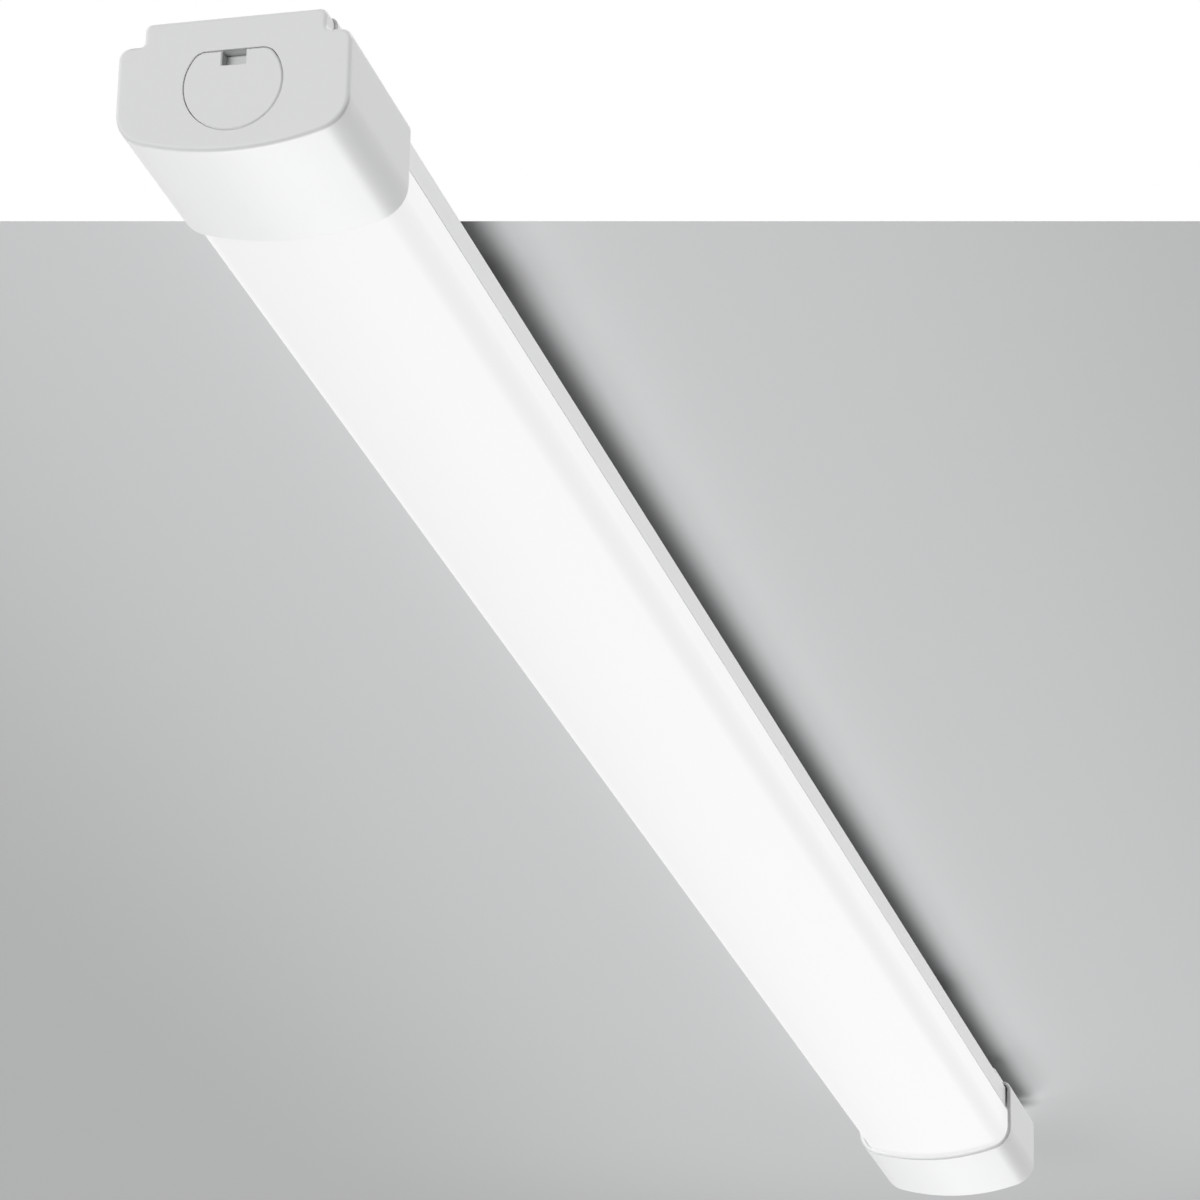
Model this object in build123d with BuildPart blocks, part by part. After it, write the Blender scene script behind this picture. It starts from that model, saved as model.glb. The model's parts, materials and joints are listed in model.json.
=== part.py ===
"""Vapor tight linear ceiling light.

An extruded base carries a snapped-on opal diffuser. Two long end caps with plugged sockets close
the body, and two spring clips hold it under the ceiling. The fixture lies along X with its supply
end at -X, +Z is up, and the ceiling is the plane z = 0.
"""

import os
from math import sqrt

from build123d import *

# Outside of the fixture, in millimetres
fixture_length = 1200.0  # over both end faces
cap_width = 74.0
cap_length = 66.5
shoulder_width = 7.0  # step beside the raised back of a cap, on each side
block_height = 7.4  # raised back of a cap above its shoulders
tab_length = 7.5  # the raised back is a little narrower at the very end
tab_setback = 1.1
shoulder_radius = 4.0
block_radius = 2.5
root_radius = 1.5
least_radius = 0.5  # where an inner outline has no room for the corner's own radius
front_radius = 11.8  # corners between the sides and the crowned front
front_rise = 7.3  # rise of the crown over the full width
face_radius = 1.5  # rounding round an end face
lip_radius = 1.2  # rounding round a cap's inner lip
cap_wall = 2.2
lead_in = 0.7  # a cap is wider inside at its mouth, so that it slides over the body
lead_in_length = 6.0
end_wall = 3.0

# Socket mouth and its cover, a circle with a flat towards the ceiling
cover_radius = 15.6
cover_cut = 4.55  # height of the circle that the flat takes away
cover_corner = 4.5
cover_flat_room = 4.15  # from the shoulder level down to the flat
cover_front_room = 6.9  # from the circle down to the front of the cap
cover_gap = 0.35
cover_plate = 2.2
cover_depth = 9.6
cover_wall = 2.2
cover_edge = 0.4
notch_width = 7.6
notch_height = 4.8
notch_depth = 4.6
notch_wall = 1.5
seal_width = 1.6
seal_height = 1.0
seal_proud = 0.1
seal_fit = 0.05
seal_edge = 1.0  # skirt left behind the seal

# Socket well behind the cover
well_depth = 22.0
well_wall = 1.4
well_floor = 3.0
flange_width = 0.8
flange_thickness = 1.5
pin_radius = 1.5
pin_reach = 10.0
pin_spacing = 10.0
pin_fit = 0.1
pin_tip = 0.6
tail_length = 2.5
pad_thickness = 1.0
pad_width = 5.0
pad_height = 9.0
boss_width = 21.0
boss_height = 11.0
boss_length = 11.0
sleeve_wall = 0.7
sleeve_recess = 0.5

# Fits between a cap and the body
back_fit = 0.9  # between the base's back and the inside of a cap
base_fit = 0.3
diffuser_fit = 0.3
stop_clearance = 5.2  # from a socket's floor to the stops for the body
gasket_thickness = 1.8
gasket_width = 3.2
gasket_fit = 0.15
stop_width = 2.0
stop_height = 3.0
stop_spacing = 36.0

# Extruded base
base_wall = 1.8
base_side_height = 10.4
base_corner = 1.2
clip_undercut = 1.4  # how far the back's edges overhang the clips' hooks
driver_bay_height = 13.0
slot_fit = 0.15
slot_ledge = 2.0
ledge_thickness = 1.2

# Diffuser
diffuser_wall = 1.6
flange_gap = 0.2
flange_wall = 1.4
flange_top_room = 2.0
bead_radius = 0.6

# Mounting clips
clip_thickness = 0.8
clip_width = 28.0
clip_inset = 133.5  # from a cap's lip to the middle of a clip
clip_plate_length = 33.0
clip_ramp = 4.5
clip_bend = 0.3  # inside radius of the bends
clip_seat_gap = 0.15
clip_side_gap = 0.25
clip_hook_drop = 0.6
clip_nose_gap = 0.35
clip_flare = 1.6
clip_tip_room = 1.0
screw_room = 3.4  # between a clip's plate and the base, for a screw head
screw_hole_radius = 2.5
rib_spacing = 17.0
rib_width = 3.3
rib_margin = 2.8
rib_height = 0.5
rib_wall = 0.5

# Light boards on the gear tray
tray_thickness = 1.5
lead_room = 34.0  # between a socket's contacts and the tray
board_side_gap = 1.7  # from the tray's ledges to a light board
board_thickness = 1.2
board_gap = 6.0
board_margin = 7.0
chip_length = 3.5
chip_width = 2.8
chip_height = 0.7
chips_per_row = 24
chip_edge = 7.6  # from a board's edge to the chips
screw_radius = 1.45
screw_head_radius = 2.8
screw_head_height = 1.8
screw_fit = 0.1
screw_margin = 15.0
screw_tip = 1.0
link_reach = 7.0
link_width = 9.0
link_height = 3.2
link_rib = 1.0

# Driver on the gear tray
case_wall = 1.0
case_height = 6.0
case_tab = 9.0
post_height = 1.2
post_radius = 1.5
post_margin = 5.0
pcb_length = 140.0
case_side_gap = 3.1  # from a through wire to the driver's case
pcb_thickness = 1.2
pcb_gap = 0.4
part_gap = 5.0  # between neighbours on the driver board
terminal_length = 11.0
terminal_width = 16.0
terminal_height = 7.6
terminal_entry = 3.4  # height of the wires' middle above the driver board
fuse_radius = 2.2
fuse_length = 9.0
fuse_cap = 2.0
fuse_rim = 0.25
choke_length = 13.0
choke_width = 15.0
choke_height = 8.2
choke_wall = 3.0
film_length = 6.5
film_width = 13.0
film_height = 8.0
film_corner = 0.8
rectifier_length = 8.0
rectifier_width = 6.4
rectifier_height = 2.6
controller_length = 5.0
controller_width = 4.0
controller_height = 1.6
can_radius = 4.0
can_length = 16.0
can_bead = 0.4
can_gap = 1.5
core_length = 17.0
core_width = 18.0
core_height = 8.4
core_wall = 3.6
winding_gap = 0.3
winding_radius = 2.0

# Inner wires
wire_radius = 0.9
wire_seat = 0.2
wire_start = 8.0
wire_bend = 7.0
wire_drop_bend = 3.4
wire_tray_gap = 6.0
wire_hole_gap = 1.1
wire_hole_setback = 14.0
wire_pair_spacing = 8.0
through_wire_room = 1.4  # from the tray's ledges to a through wire

# Levels
base_back_z = -clip_thickness - screw_room
cap_back_z = base_back_z + cap_wall + back_fit
cap_shoulder_z = cap_back_z - block_height
socket_z = cap_shoulder_z - cover_flat_room - (cover_radius - cover_cut)
cap_front_z = socket_z - cover_radius - cover_front_room
base_inset = cap_wall + base_fit
diffuser_inset = cap_wall + diffuser_fit
base_shoulder_z = cap_shoulder_z - base_inset
seam_z = base_shoulder_z - base_side_height
back_under_z = base_back_z - base_wall
tray_top_z = back_under_z - driver_bay_height
tray_bottom_z = tray_top_z - tray_thickness
board_bottom_z = tray_bottom_z - board_thickness
pcb_bottom_z = tray_top_z + case_wall + post_height
pcb_top_z = pcb_bottom_z + pcb_thickness
entry_z = pcb_top_z + terminal_entry

# Widths, from the middle
cap_half = cap_width / 2
block_half = cap_half - shoulder_width
base_half = cap_half - base_inset
lip_half = block_half - base_inset
neck_half = lip_half - clip_undercut
bay_half = neck_half - base_wall
tray_half = bay_half - slot_fit
flange_half = base_half - base_wall - flange_gap
board_width = 2 * (bay_half - slot_ledge - board_side_gap)
chip_row_spacing = board_width - 2 * chip_edge - chip_width
through_y = bay_half - slot_ledge - through_wire_room - wire_radius
pcb_width = 2 * (through_y - wire_radius - case_side_gap - case_wall - pcb_gap)

# Lengths
stop_depth = well_depth + well_floor + stop_clearance
body_length = fixture_length - 2 * (stop_depth + gasket_thickness)
pad_depth = well_depth + well_floor + tail_length + pad_thickness
tray_length = fixture_length - 2 * (pad_depth + lead_room)
lit_half = fixture_length / 2 - cap_length
board_length = lit_half - board_margin - board_gap / 2
board_x = board_gap / 2 + board_length / 2
screw_pitch = board_length / 2 - screw_margin
clip_x = lit_half - clip_inset
driver_x = -board_x - screw_pitch / 2
case_length = pcb_length + 2 * pcb_gap
wire_hole_x = driver_x + pcb_length / 2 + wire_hole_setback

# Crown of the front
crown_radius = (cap_half**2 + front_rise**2) / (2 * front_rise)
crown_centre_z = cap_front_z + crown_radius

ends = {"supply": -1, "link": 1}
halves = {"supply_half": -1, "link_half": 1}
os.makedirs("parts", exist_ok=True)


def keep(piece, name):
    """Label a finished piece and write it to its own file."""
    piece.part.label = name
    export_step(piece.part, f"parts/{name}.step")


def end_plane(side, depth=0.0):
    """Plane across the fixture, a given depth behind one end face, looking inwards."""
    return Plane(
        origin=(side * (fixture_length / 2 - depth), 0, 0),
        x_dir=(0, -side, 0),
        z_dir=(-side, 0, 0),
    )


def outline(inset, block_setback=0.0):
    """Cross-section of the fixture, drawn a given distance inside the skin of the caps."""
    half = cap_half - inset
    block = block_half - inset - block_setback
    back = cap_back_z - inset
    shoulder = cap_shoulder_z - inset
    crown = crown_radius - inset
    edge = crown_centre_z - sqrt(crown**2 - half**2)
    with BuildSketch() as section:
        with BuildLine():
            Polyline(
                (half, edge),
                (half, shoulder),
                (block, shoulder),
                (block, back),
                (-block, back),
                (-block, shoulder),
                (-half, shoulder),
                (-half, edge),
            )
            ThreePointArc((-half, edge), (0, crown_centre_z - crown), (half, edge))
        make_face()
        fillet(section.vertices().group_by(Axis.Y)[0], max(front_radius - inset, least_radius))
        fillet(section.vertices().group_by(Axis.Y)[-1], max(block_radius - inset, least_radius))
        level = [v for v in section.vertices() if abs(v.Y - shoulder) < least_radius / 10]
        outer_level = [v for v in level if abs(v.X) > block + least_radius]
        fillet(outer_level, max(min(shoulder_radius, 0.6 * shoulder_width) - inset, least_radius))
        level = [v for v in section.vertices() if abs(v.Y - shoulder) < least_radius / 10]
        inner_level = [v for v in level if abs(v.X) < block + least_radius]
        fillet(inner_level, min(root_radius, 0.3 * shoulder_width))
    return section.sketch


def mouth(grow):
    """Shape of the socket's mouth, widened by a given distance."""
    radius = cover_radius + grow
    with BuildSketch() as shape:
        with Locations((0, socket_z)):
            Circle(radius)
        with Locations((0, socket_z + radius - cover_cut)):
            Rectangle(2 * radius, radius, align=(Align.CENTER, Align.MIN), mode=Mode.SUBTRACT)
        fillet(shape.vertices().group_by(Axis.Y)[-1], cover_corner + grow)
    return shape.sketch


def wire(name, points, bend):
    """An insulated wire along straight runs joined by tangent arcs."""
    with BuildPart() as piece:
        with BuildLine() as route:
            FilletPolyline(*points, radius=bend)
        with BuildSketch(Plane(origin=route.line @ 0, z_dir=route.line % 0)):
            Circle(wire_radius)
        sweep()
    keep(piece, name)


def pan_screw(head_z, direction, tip_z):
    """Round-headed screw on the origin's axis, from under its head to its tip."""
    with BuildPart() as screw:
        with BuildSketch(Plane.XY.offset(head_z)):
            Circle(screw_head_radius)
        extrude(amount=direction * screw_head_height)
        top_face = screw.faces().sort_by(Axis.Z)[-1 if direction > 0 else 0]
        fillet(top_face.edges(), screw_head_height / 2)
        with BuildSketch(Plane.XY.offset(head_z)):
            Circle(screw_radius)
        extrude(amount=tip_z - head_z)
    return screw.part


# Base: a hat-shaped extrusion with overhanging back edges and slots for the gear tray
slot_top_z = tray_top_z + slot_fit
slot_bottom_z = tray_bottom_z - slot_fit
rib_bottom_z = slot_bottom_z - ledge_thickness
bead_z = seam_z + (base_side_height - base_wall - flange_top_room) / 2

with BuildPart() as base_profile:
    with BuildSketch(Plane.YZ.offset(-body_length / 2)) as base_section:
        with BuildLine():
            Polyline(
                (base_half, seam_z),
                (base_half, base_shoulder_z),
                (neck_half, base_shoulder_z),
                (neck_half, back_under_z),
                (lip_half, back_under_z),
                (lip_half, base_back_z),
                (-lip_half, base_back_z),
                (-lip_half, back_under_z),
                (-neck_half, back_under_z),
                (-neck_half, base_shoulder_z),
                (-base_half, base_shoulder_z),
                (-base_half, seam_z),
                close=True,
            )
        make_face()
        shoulder_level = [v for v in base_section.vertices() if abs(v.X) > neck_half + base_corner]
        fillet([v for v in shoulder_level if v.Y > seam_z + base_wall and v.Y < back_under_z], base_corner)
        with Locations((0, base_shoulder_z - base_wall)):
            Rectangle(
                2 * (base_half - base_wall),
                base_side_height,
                align=(Align.CENTER, Align.MAX),
                mode=Mode.SUBTRACT,
            )
        with Locations((0, back_under_z)):
            Rectangle(2 * bay_half, block_height, align=(Align.CENTER, Align.MAX), mode=Mode.SUBTRACT)
        rib_height_down = base_shoulder_z - rib_bottom_z
        with Locations((bay_half, base_shoulder_z)):
            Rectangle(base_wall, rib_height_down, align=(Align.MIN, Align.MAX))
        with Locations((-bay_half, base_shoulder_z)):
            Rectangle(base_wall, rib_height_down, align=(Align.MAX, Align.MAX))
        for ledge_z in (slot_top_z + ledge_thickness, slot_bottom_z):
            with Locations((bay_half, ledge_z)):
                Rectangle(slot_ledge, ledge_thickness, align=(Align.MAX, Align.MAX))
            with Locations((-bay_half, ledge_z)):
                Rectangle(slot_ledge, ledge_thickness, align=(Align.MIN, Align.MAX))
        with Locations((base_half - base_wall, bead_z), (base_wall - base_half, bead_z)):
            Circle(bead_radius + flange_gap, mode=Mode.SUBTRACT)
    extrude(amount=body_length)
keep(base_profile, "base_profile")

# Diffuser: a crowned trough whose inner flanges snap into the base's side walls
with BuildPart() as diffuser:
    with BuildSketch(Plane.YZ.offset(-body_length / 2)):
        add(outline(diffuser_inset))
        add(outline(diffuser_inset + diffuser_wall), mode=Mode.SUBTRACT)
        with Locations((0, seam_z)):
            Rectangle(
                2 * cap_width,
                2 * (block_height + base_side_height),
                align=(Align.CENTER, Align.MIN),
                mode=Mode.SUBTRACT,
            )
        web_width = cap_half - diffuser_inset - diffuser_wall / 2 - flange_half + flange_wall
        flange_height = base_side_height - base_wall - flange_top_room
        with Locations((flange_half - flange_wall, seam_z)):
            Rectangle(web_width, diffuser_wall, align=(Align.MIN, Align.MAX))
            Rectangle(flange_wall, flange_height, align=(Align.MIN, Align.MIN))
        with Locations((flange_wall - flange_half, seam_z)):
            Rectangle(web_width, diffuser_wall, align=(Align.MAX, Align.MAX))
            Rectangle(flange_wall, flange_height, align=(Align.MAX, Align.MIN))
        with Locations((flange_half, bead_z), (-flange_half, bead_z)):
            Circle(bead_radius)
    extrude(amount=body_length)
keep(diffuser, "diffuser")

# Both ends: cap, gasket, socket, contacts, cover and cover seal
seal_depth = cover_depth - seal_edge - seal_width
stop_root = cap_half - cap_wall / 2
crown_inside = crown_radius - cap_wall
stop_front_z = crown_centre_z - sqrt(crown_inside**2 - (stop_spacing / 2) ** 2)

for end, side in ends.items():
    outermost = -1 if side > 0 else 0
    innermost = 0 if side > 0 else -1

    with BuildPart() as end_cap:
        with BuildSketch(end_plane(side)):
            add(outline(0, tab_setback))
        extrude(amount=tab_length)
        fillet(end_cap.faces().sort_by(Axis.X)[outermost].edges(), face_radius)
        with BuildSketch(end_plane(side, tab_length)):
            add(outline(0))
        extrude(amount=cap_length - tab_length)
        fillet(end_cap.faces().sort_by(Axis.X)[innermost].edges(), lip_radius)
        with BuildSketch(end_plane(side, end_wall)):
            add(outline(cap_wall))
        extrude(amount=cap_length - end_wall, mode=Mode.SUBTRACT)
        with BuildSketch(end_plane(side, cap_length - lead_in_length)):
            add(outline(cap_wall - lead_in))
        extrude(amount=lead_in_length, mode=Mode.SUBTRACT)
        with BuildSketch(end_plane(side, end_wall)):
            with Locations((stop_root, socket_z)):
                Rectangle(stop_height + cap_wall / 2, stop_width, align=(Align.MAX, Align.CENTER))
            with Locations((-stop_root, socket_z)):
                Rectangle(stop_height + cap_wall / 2, stop_width, align=(Align.MIN, Align.CENTER))
            with Locations(
                (stop_spacing / 2, cap_back_z - cap_wall / 2),
                (-stop_spacing / 2, cap_back_z - cap_wall / 2),
            ):
                Rectangle(stop_width, stop_height + cap_wall / 2, align=(Align.CENTER, Align.MAX))
            with Locations(
                (stop_spacing / 2, stop_front_z - cap_wall / 2),
                (-stop_spacing / 2, stop_front_z - cap_wall / 2),
            ):
                Rectangle(stop_width, stop_height + cap_wall / 2, align=(Align.CENTER, Align.MIN))
        extrude(amount=stop_depth - end_wall)
        with BuildSketch(end_plane(side)):
            add(mouth(cover_gap))
        extrude(amount=end_wall, mode=Mode.SUBTRACT)
    keep(end_cap, f"{end}_end_cap")

    with BuildPart() as cap_gasket:
        with BuildSketch(end_plane(side, stop_depth)):
            add(outline(cap_wall + gasket_fit))
            add(outline(cap_wall + gasket_width), mode=Mode.SUBTRACT)
        extrude(amount=gasket_thickness)
    keep(cap_gasket, f"{end}_cap_gasket")

    with BuildPart() as socket_housing:
        with BuildSketch(end_plane(side, end_wall)):
            add(mouth(cover_gap + well_wall + flange_width))
        extrude(amount=flange_thickness)
        with BuildSketch(end_plane(side, end_wall)):
            add(mouth(cover_gap + well_wall))
        extrude(amount=well_depth + well_floor - end_wall)
        with BuildSketch(end_plane(side, end_wall)):
            add(mouth(cover_gap))
        extrude(amount=well_depth - end_wall, mode=Mode.SUBTRACT)
        if end == "link":
            with BuildSketch(end_plane(side, well_depth - boss_length)):
                with Locations((0, socket_z)):
                    RectangleRounded(boss_width, boss_height, boss_height / 4)
            extrude(amount=boss_length)
        contact_radius = pin_radius if end == "supply" else pin_radius + pin_fit + sleeve_wall
        with BuildSketch(end_plane(side, well_depth - boss_length)):
            with Locations((pin_spacing / 2, socket_z), (-pin_spacing / 2, socket_z)):
                Circle(contact_radius + pin_fit)
        extrude(amount=boss_length + well_floor, mode=Mode.SUBTRACT)
    keep(socket_housing, f"{end}_socket_housing")

    contact_start = well_depth - pin_reach if end == "supply" else well_depth - boss_length + sleeve_recess
    contact_end = pad_depth - pad_thickness
    with BuildPart() as contacts:
        with BuildSketch(end_plane(side, contact_start)):
            with Locations((pin_spacing / 2, socket_z), (-pin_spacing / 2, socket_z)):
                Circle(contact_radius)
        extrude(amount=contact_end - contact_start)
        if end == "supply":
            chamfer(contacts.faces().sort_by(Axis.X)[:2].edges(), pin_tip)
        else:
            with BuildSketch(end_plane(side, contact_start)):
                with Locations((pin_spacing / 2, socket_z), (-pin_spacing / 2, socket_z)):
                    Circle(pin_radius + pin_fit)
            extrude(amount=pin_reach, mode=Mode.SUBTRACT)
        with BuildSketch(end_plane(side, contact_end)):
            with Locations((pin_spacing / 2, socket_z), (-pin_spacing / 2, socket_z)):
                Rectangle(pad_width, pad_height)
        extrude(amount=pad_thickness)
    keep(contacts, "supply_socket_pins" if end == "supply" else "link_socket_contacts")

    flat_z = socket_z + cover_radius - cover_cut
    with BuildPart() as cover:
        with BuildSketch(end_plane(side)):
            add(mouth(0))
        extrude(amount=cover_depth)
        with BuildSketch(end_plane(side, cover_plate)):
            add(mouth(-cover_wall))
        extrude(amount=cover_depth - cover_plate, mode=Mode.SUBTRACT)
        with BuildSketch(end_plane(side)):
            with Locations((0, flat_z)):
                Rectangle(
                    notch_width + 2 * notch_wall,
                    notch_height + notch_wall,
                    align=(Align.CENTER, Align.MAX),
                )
        extrude(amount=notch_depth + notch_wall)
        with BuildSketch(end_plane(side)):
            with Locations((0, flat_z)):
                Rectangle(notch_width, notch_height, align=(Align.CENTER, Align.MAX))
        extrude(amount=notch_depth, mode=Mode.SUBTRACT)
        chamfer(cover.faces().sort_by(Axis.X)[outermost].edges(), cover_edge)
        with BuildSketch(end_plane(side, seal_depth)):
            add(mouth(0))
            add(mouth(-seal_height), mode=Mode.SUBTRACT)
        extrude(amount=seal_width, mode=Mode.SUBTRACT)
    keep(cover, f"{end}_socket_cover")

    with BuildPart() as cover_seal:
        with BuildSketch(end_plane(side, seal_depth + seal_fit)):
            add(mouth(seal_proud))
            add(mouth(seal_fit - seal_height), mode=Mode.SUBTRACT)
        extrude(amount=seal_width - 2 * seal_fit)
    keep(cover_seal, f"{end}_cover_seal")

# Mounting clips: one bent strip each, hooked under the overhanging edges of the base's back
leg_y = lip_half + clip_side_gap + clip_thickness
arm_z = base_back_z + clip_seat_gap + clip_thickness
hook_z = back_under_z - clip_hook_drop
nose_y = neck_half + clip_nose_gap + clip_thickness / 2
nose_z = (back_under_z + base_shoulder_z) / 2
tip_y = nose_y + clip_flare
tip_z = base_shoulder_z + clip_tip_room
plate_half = clip_plate_length / 2
right_side = [
    (plate_half, 0),
    (plate_half + clip_ramp, arm_z),
    (leg_y, arm_z),
    (leg_y, hook_z),
    (nose_y, nose_z),
    (tip_y, tip_z),
]
left_side = [(-y, z) for y, z in reversed(right_side)]

for clip_name, middle_x in (("left_mounting_clip", -clip_x), ("right_mounting_clip", clip_x)):
    with BuildPart() as clip:
        with BuildSketch(Plane.YZ.offset(middle_x - clip_width / 2)):
            with BuildLine():
                FilletPolyline(*left_side, *right_side, radius=clip_thickness + clip_bend)
                offset(amount=clip_thickness, side=Side.RIGHT)
            make_face()
        extrude(amount=clip_width)
        rib_length = clip_plate_length - 2 * rib_margin
        rib_places = ((middle_x - rib_spacing / 2, 0), (middle_x + rib_spacing / 2, 0))
        with BuildSketch(Plane.XY.offset(-clip_thickness - rib_height)):
            with Locations(*rib_places):
                SlotOverall(rib_length, rib_width, rotation=90)
        extrude(amount=rib_height)
        with BuildSketch(Plane.XY.offset(-rib_height)):
            with Locations(*rib_places):
                SlotOverall(rib_length - 2 * rib_wall, rib_width - 2 * rib_wall, rotation=90)
        extrude(amount=rib_height, mode=Mode.SUBTRACT)
        with BuildSketch(Plane.XY.offset(-clip_thickness)):
            with Locations((middle_x, 0)):
                Circle(screw_hole_radius)
        extrude(amount=clip_thickness, mode=Mode.SUBTRACT)
    keep(clip, clip_name)

# Gear tray: a sheet with holes for the board screws, the driver screws and the board wires
board_screw_x = [s * (board_x + k * screw_pitch) for s in (-1, 1) for k in (-1, 0, 1)]
driver_screw_x = [driver_x + s * (case_length / 2 + case_tab / 2) for s in (-1, 1)]
wire_places = [(wire_hole_x, s * wire_pair_spacing / 2) for s in (-1, 1)]

with BuildPart() as gear_tray:
    with BuildSketch(Plane.XY.offset(tray_bottom_z)):
        Rectangle(tray_length, 2 * tray_half)
        with Locations(*[(x, 0) for x in board_screw_x + driver_screw_x]):
            Circle(screw_radius + screw_fit, mode=Mode.SUBTRACT)
        with Locations(*wire_places):
            Circle(wire_radius + wire_hole_gap, mode=Mode.SUBTRACT)
    extrude(amount=tray_thickness)
keep(gear_tray, "gear_tray")

# Light boards and their chips
for half, side in halves.items():
    with BuildPart() as led_board:
        with BuildSketch(Plane.XY.offset(board_bottom_z)):
            with Locations((side * board_x, 0)):
                Rectangle(board_length, board_width)
            with Locations(*[(x, 0) for x in board_screw_x if x * side > 0]):
                Circle(screw_radius + screw_fit, mode=Mode.SUBTRACT)
        extrude(amount=board_thickness)
    keep(led_board, f"led_board_{half}")

    with BuildPart() as led_chips:
        with BuildSketch(Plane.XY.offset(board_bottom_z - chip_height)):
            with Locations((side * board_x, 0)):
                with GridLocations(board_length / chips_per_row, chip_row_spacing, chips_per_row, 2):
                    Rectangle(chip_length, chip_width)
        extrude(amount=chip_height)
    keep(led_chips, f"led_chips_{half}")

# Bridge between the two boards
with BuildPart() as board_link:
    with BuildSketch(Plane.XY.offset(board_bottom_z - link_height)):
        Rectangle(board_gap + 2 * link_reach, link_width)
    extrude(amount=link_height)
    chamfer(board_link.faces().sort_by(Axis.Z)[0].edges(), link_rib / 2)
    with BuildSketch(Plane.XY.offset(board_bottom_z - link_height)):
        Rectangle(board_gap, link_width)
        Rectangle(board_gap - 2 * link_rib, link_width, mode=Mode.SUBTRACT)
    extrude(amount=link_rib, mode=Mode.SUBTRACT)
keep(board_link, "board_link")


with BuildPart() as board_screws:
    with Locations(*[(x, 0, 0) for x in board_screw_x]):
        add(pan_screw(board_bottom_z, -1, tray_top_z + screw_tip))
keep(board_screws, "board_screws")

# Driver: an insulating case on the tray, its board and the parts on it
case_inside = pcb_width + 2 * pcb_gap
with BuildPart() as driver_case:
    with BuildSketch(Plane.XY.offset(tray_top_z)):
        with Locations((driver_x, 0)):
            Rectangle(case_length + 2 * case_tab, case_inside + 2 * case_wall)
        with Locations(*[(x, 0) for x in driver_screw_x]):
            Circle(screw_radius + screw_fit, mode=Mode.SUBTRACT)
    extrude(amount=case_wall)
    with BuildSketch(Plane.XY.offset(tray_top_z + case_wall)):
        with Locations((driver_x, 0)):
            Rectangle(case_length, case_inside + 2 * case_wall)
            Rectangle(case_length, case_inside, mode=Mode.SUBTRACT)
    extrude(amount=case_height - case_wall)
    with BuildSketch(Plane.XY.offset(tray_top_z + case_wall)):
        with Locations((driver_x, 0)):
            with GridLocations(pcb_length - 2 * post_margin, pcb_width - 2 * post_margin, 2, 2):
                Circle(post_radius)
    extrude(amount=post_height)
keep(driver_case, "driver_case")

with BuildPart() as driver_board:
    with BuildSketch(Plane.XY.offset(pcb_bottom_z)):
        with Locations((driver_x, 0)):
            Rectangle(pcb_length, pcb_width)
    extrude(amount=pcb_thickness)
keep(driver_board, "driver_board")

with BuildPart() as driver_screws:
    with Locations(*[(x, 0, 0) for x in driver_screw_x]):
        add(pan_screw(tray_top_z + case_wall, 1, tray_bottom_z))
keep(driver_screws, "driver_screws")

# Places along the driver board, from its supply end to its output end
terminal_in_x = driver_x - pcb_length / 2 + terminal_length / 2
fuse_x = terminal_in_x + terminal_length / 2 + part_gap + fuse_length / 2
choke_x = fuse_x + fuse_length / 2 + part_gap + choke_length / 2
film_x = choke_x + choke_length / 2 + part_gap + film_length / 2
rectifier_x = film_x + film_length / 2 + part_gap + rectifier_length / 2
terminal_out_x = driver_x + pcb_length / 2 - terminal_length / 2
core_x = terminal_out_x - terminal_length / 2 - part_gap - core_length / 2
can_x = core_x - core_length / 2 - part_gap - can_length / 2
can_y = can_radius + can_gap / 2

with BuildPart() as driver_terminals:
    for terminal_x in (terminal_in_x, terminal_out_x):
        with BuildSketch(Plane.XY.offset(pcb_top_z)):
            with Locations((terminal_x, 0)):
                Rectangle(terminal_length, terminal_width)
        extrude(amount=terminal_height)
        with BuildSketch(Plane.XY.offset(pcb_top_z + terminal_height)):
            with Locations((terminal_x, wire_pair_spacing / 2), (terminal_x, -wire_pair_spacing / 2)):
                Circle(screw_radius)
        extrude(amount=-screw_radius, mode=Mode.SUBTRACT)
keep(driver_terminals, "driver_terminals")

with BuildPart() as driver_fuse:
    with BuildSketch(Plane.YZ.offset(fuse_x - fuse_length / 2)):
        with Locations((0, pcb_top_z + fuse_radius)):
            Circle(fuse_radius - fuse_rim)
    extrude(amount=fuse_length)
    for cap_start in (fuse_x - fuse_length / 2, fuse_x + fuse_length / 2 - fuse_cap):
        with BuildSketch(Plane.YZ.offset(cap_start)):
            with Locations((0, pcb_top_z + fuse_radius)):
                Circle(fuse_radius)
        extrude(amount=fuse_cap)
keep(driver_fuse, "driver_fuse")

with BuildPart() as driver_choke:
    with BuildSketch(Plane.XY.offset(pcb_top_z)):
        with Locations((choke_x, 0)):
            RectangleRounded(choke_length, choke_width, choke_wall)
            RectangleRounded(
                choke_length - 2 * choke_wall,
                choke_width - 2 * choke_wall,
                choke_wall / 2,
                mode=Mode.SUBTRACT,
            )
    extrude(amount=choke_height)
keep(driver_choke, "driver_choke")

with BuildPart() as driver_film_capacitor:
    with BuildSketch(Plane.XY.offset(pcb_top_z)):
        with Locations((film_x, 0)):
            Rectangle(film_length, film_width)
    extrude(amount=film_height)
    fillet(driver_film_capacitor.edges().filter_by(Axis.Z), film_corner)
keep(driver_film_capacitor, "driver_film_capacitor")

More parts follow.
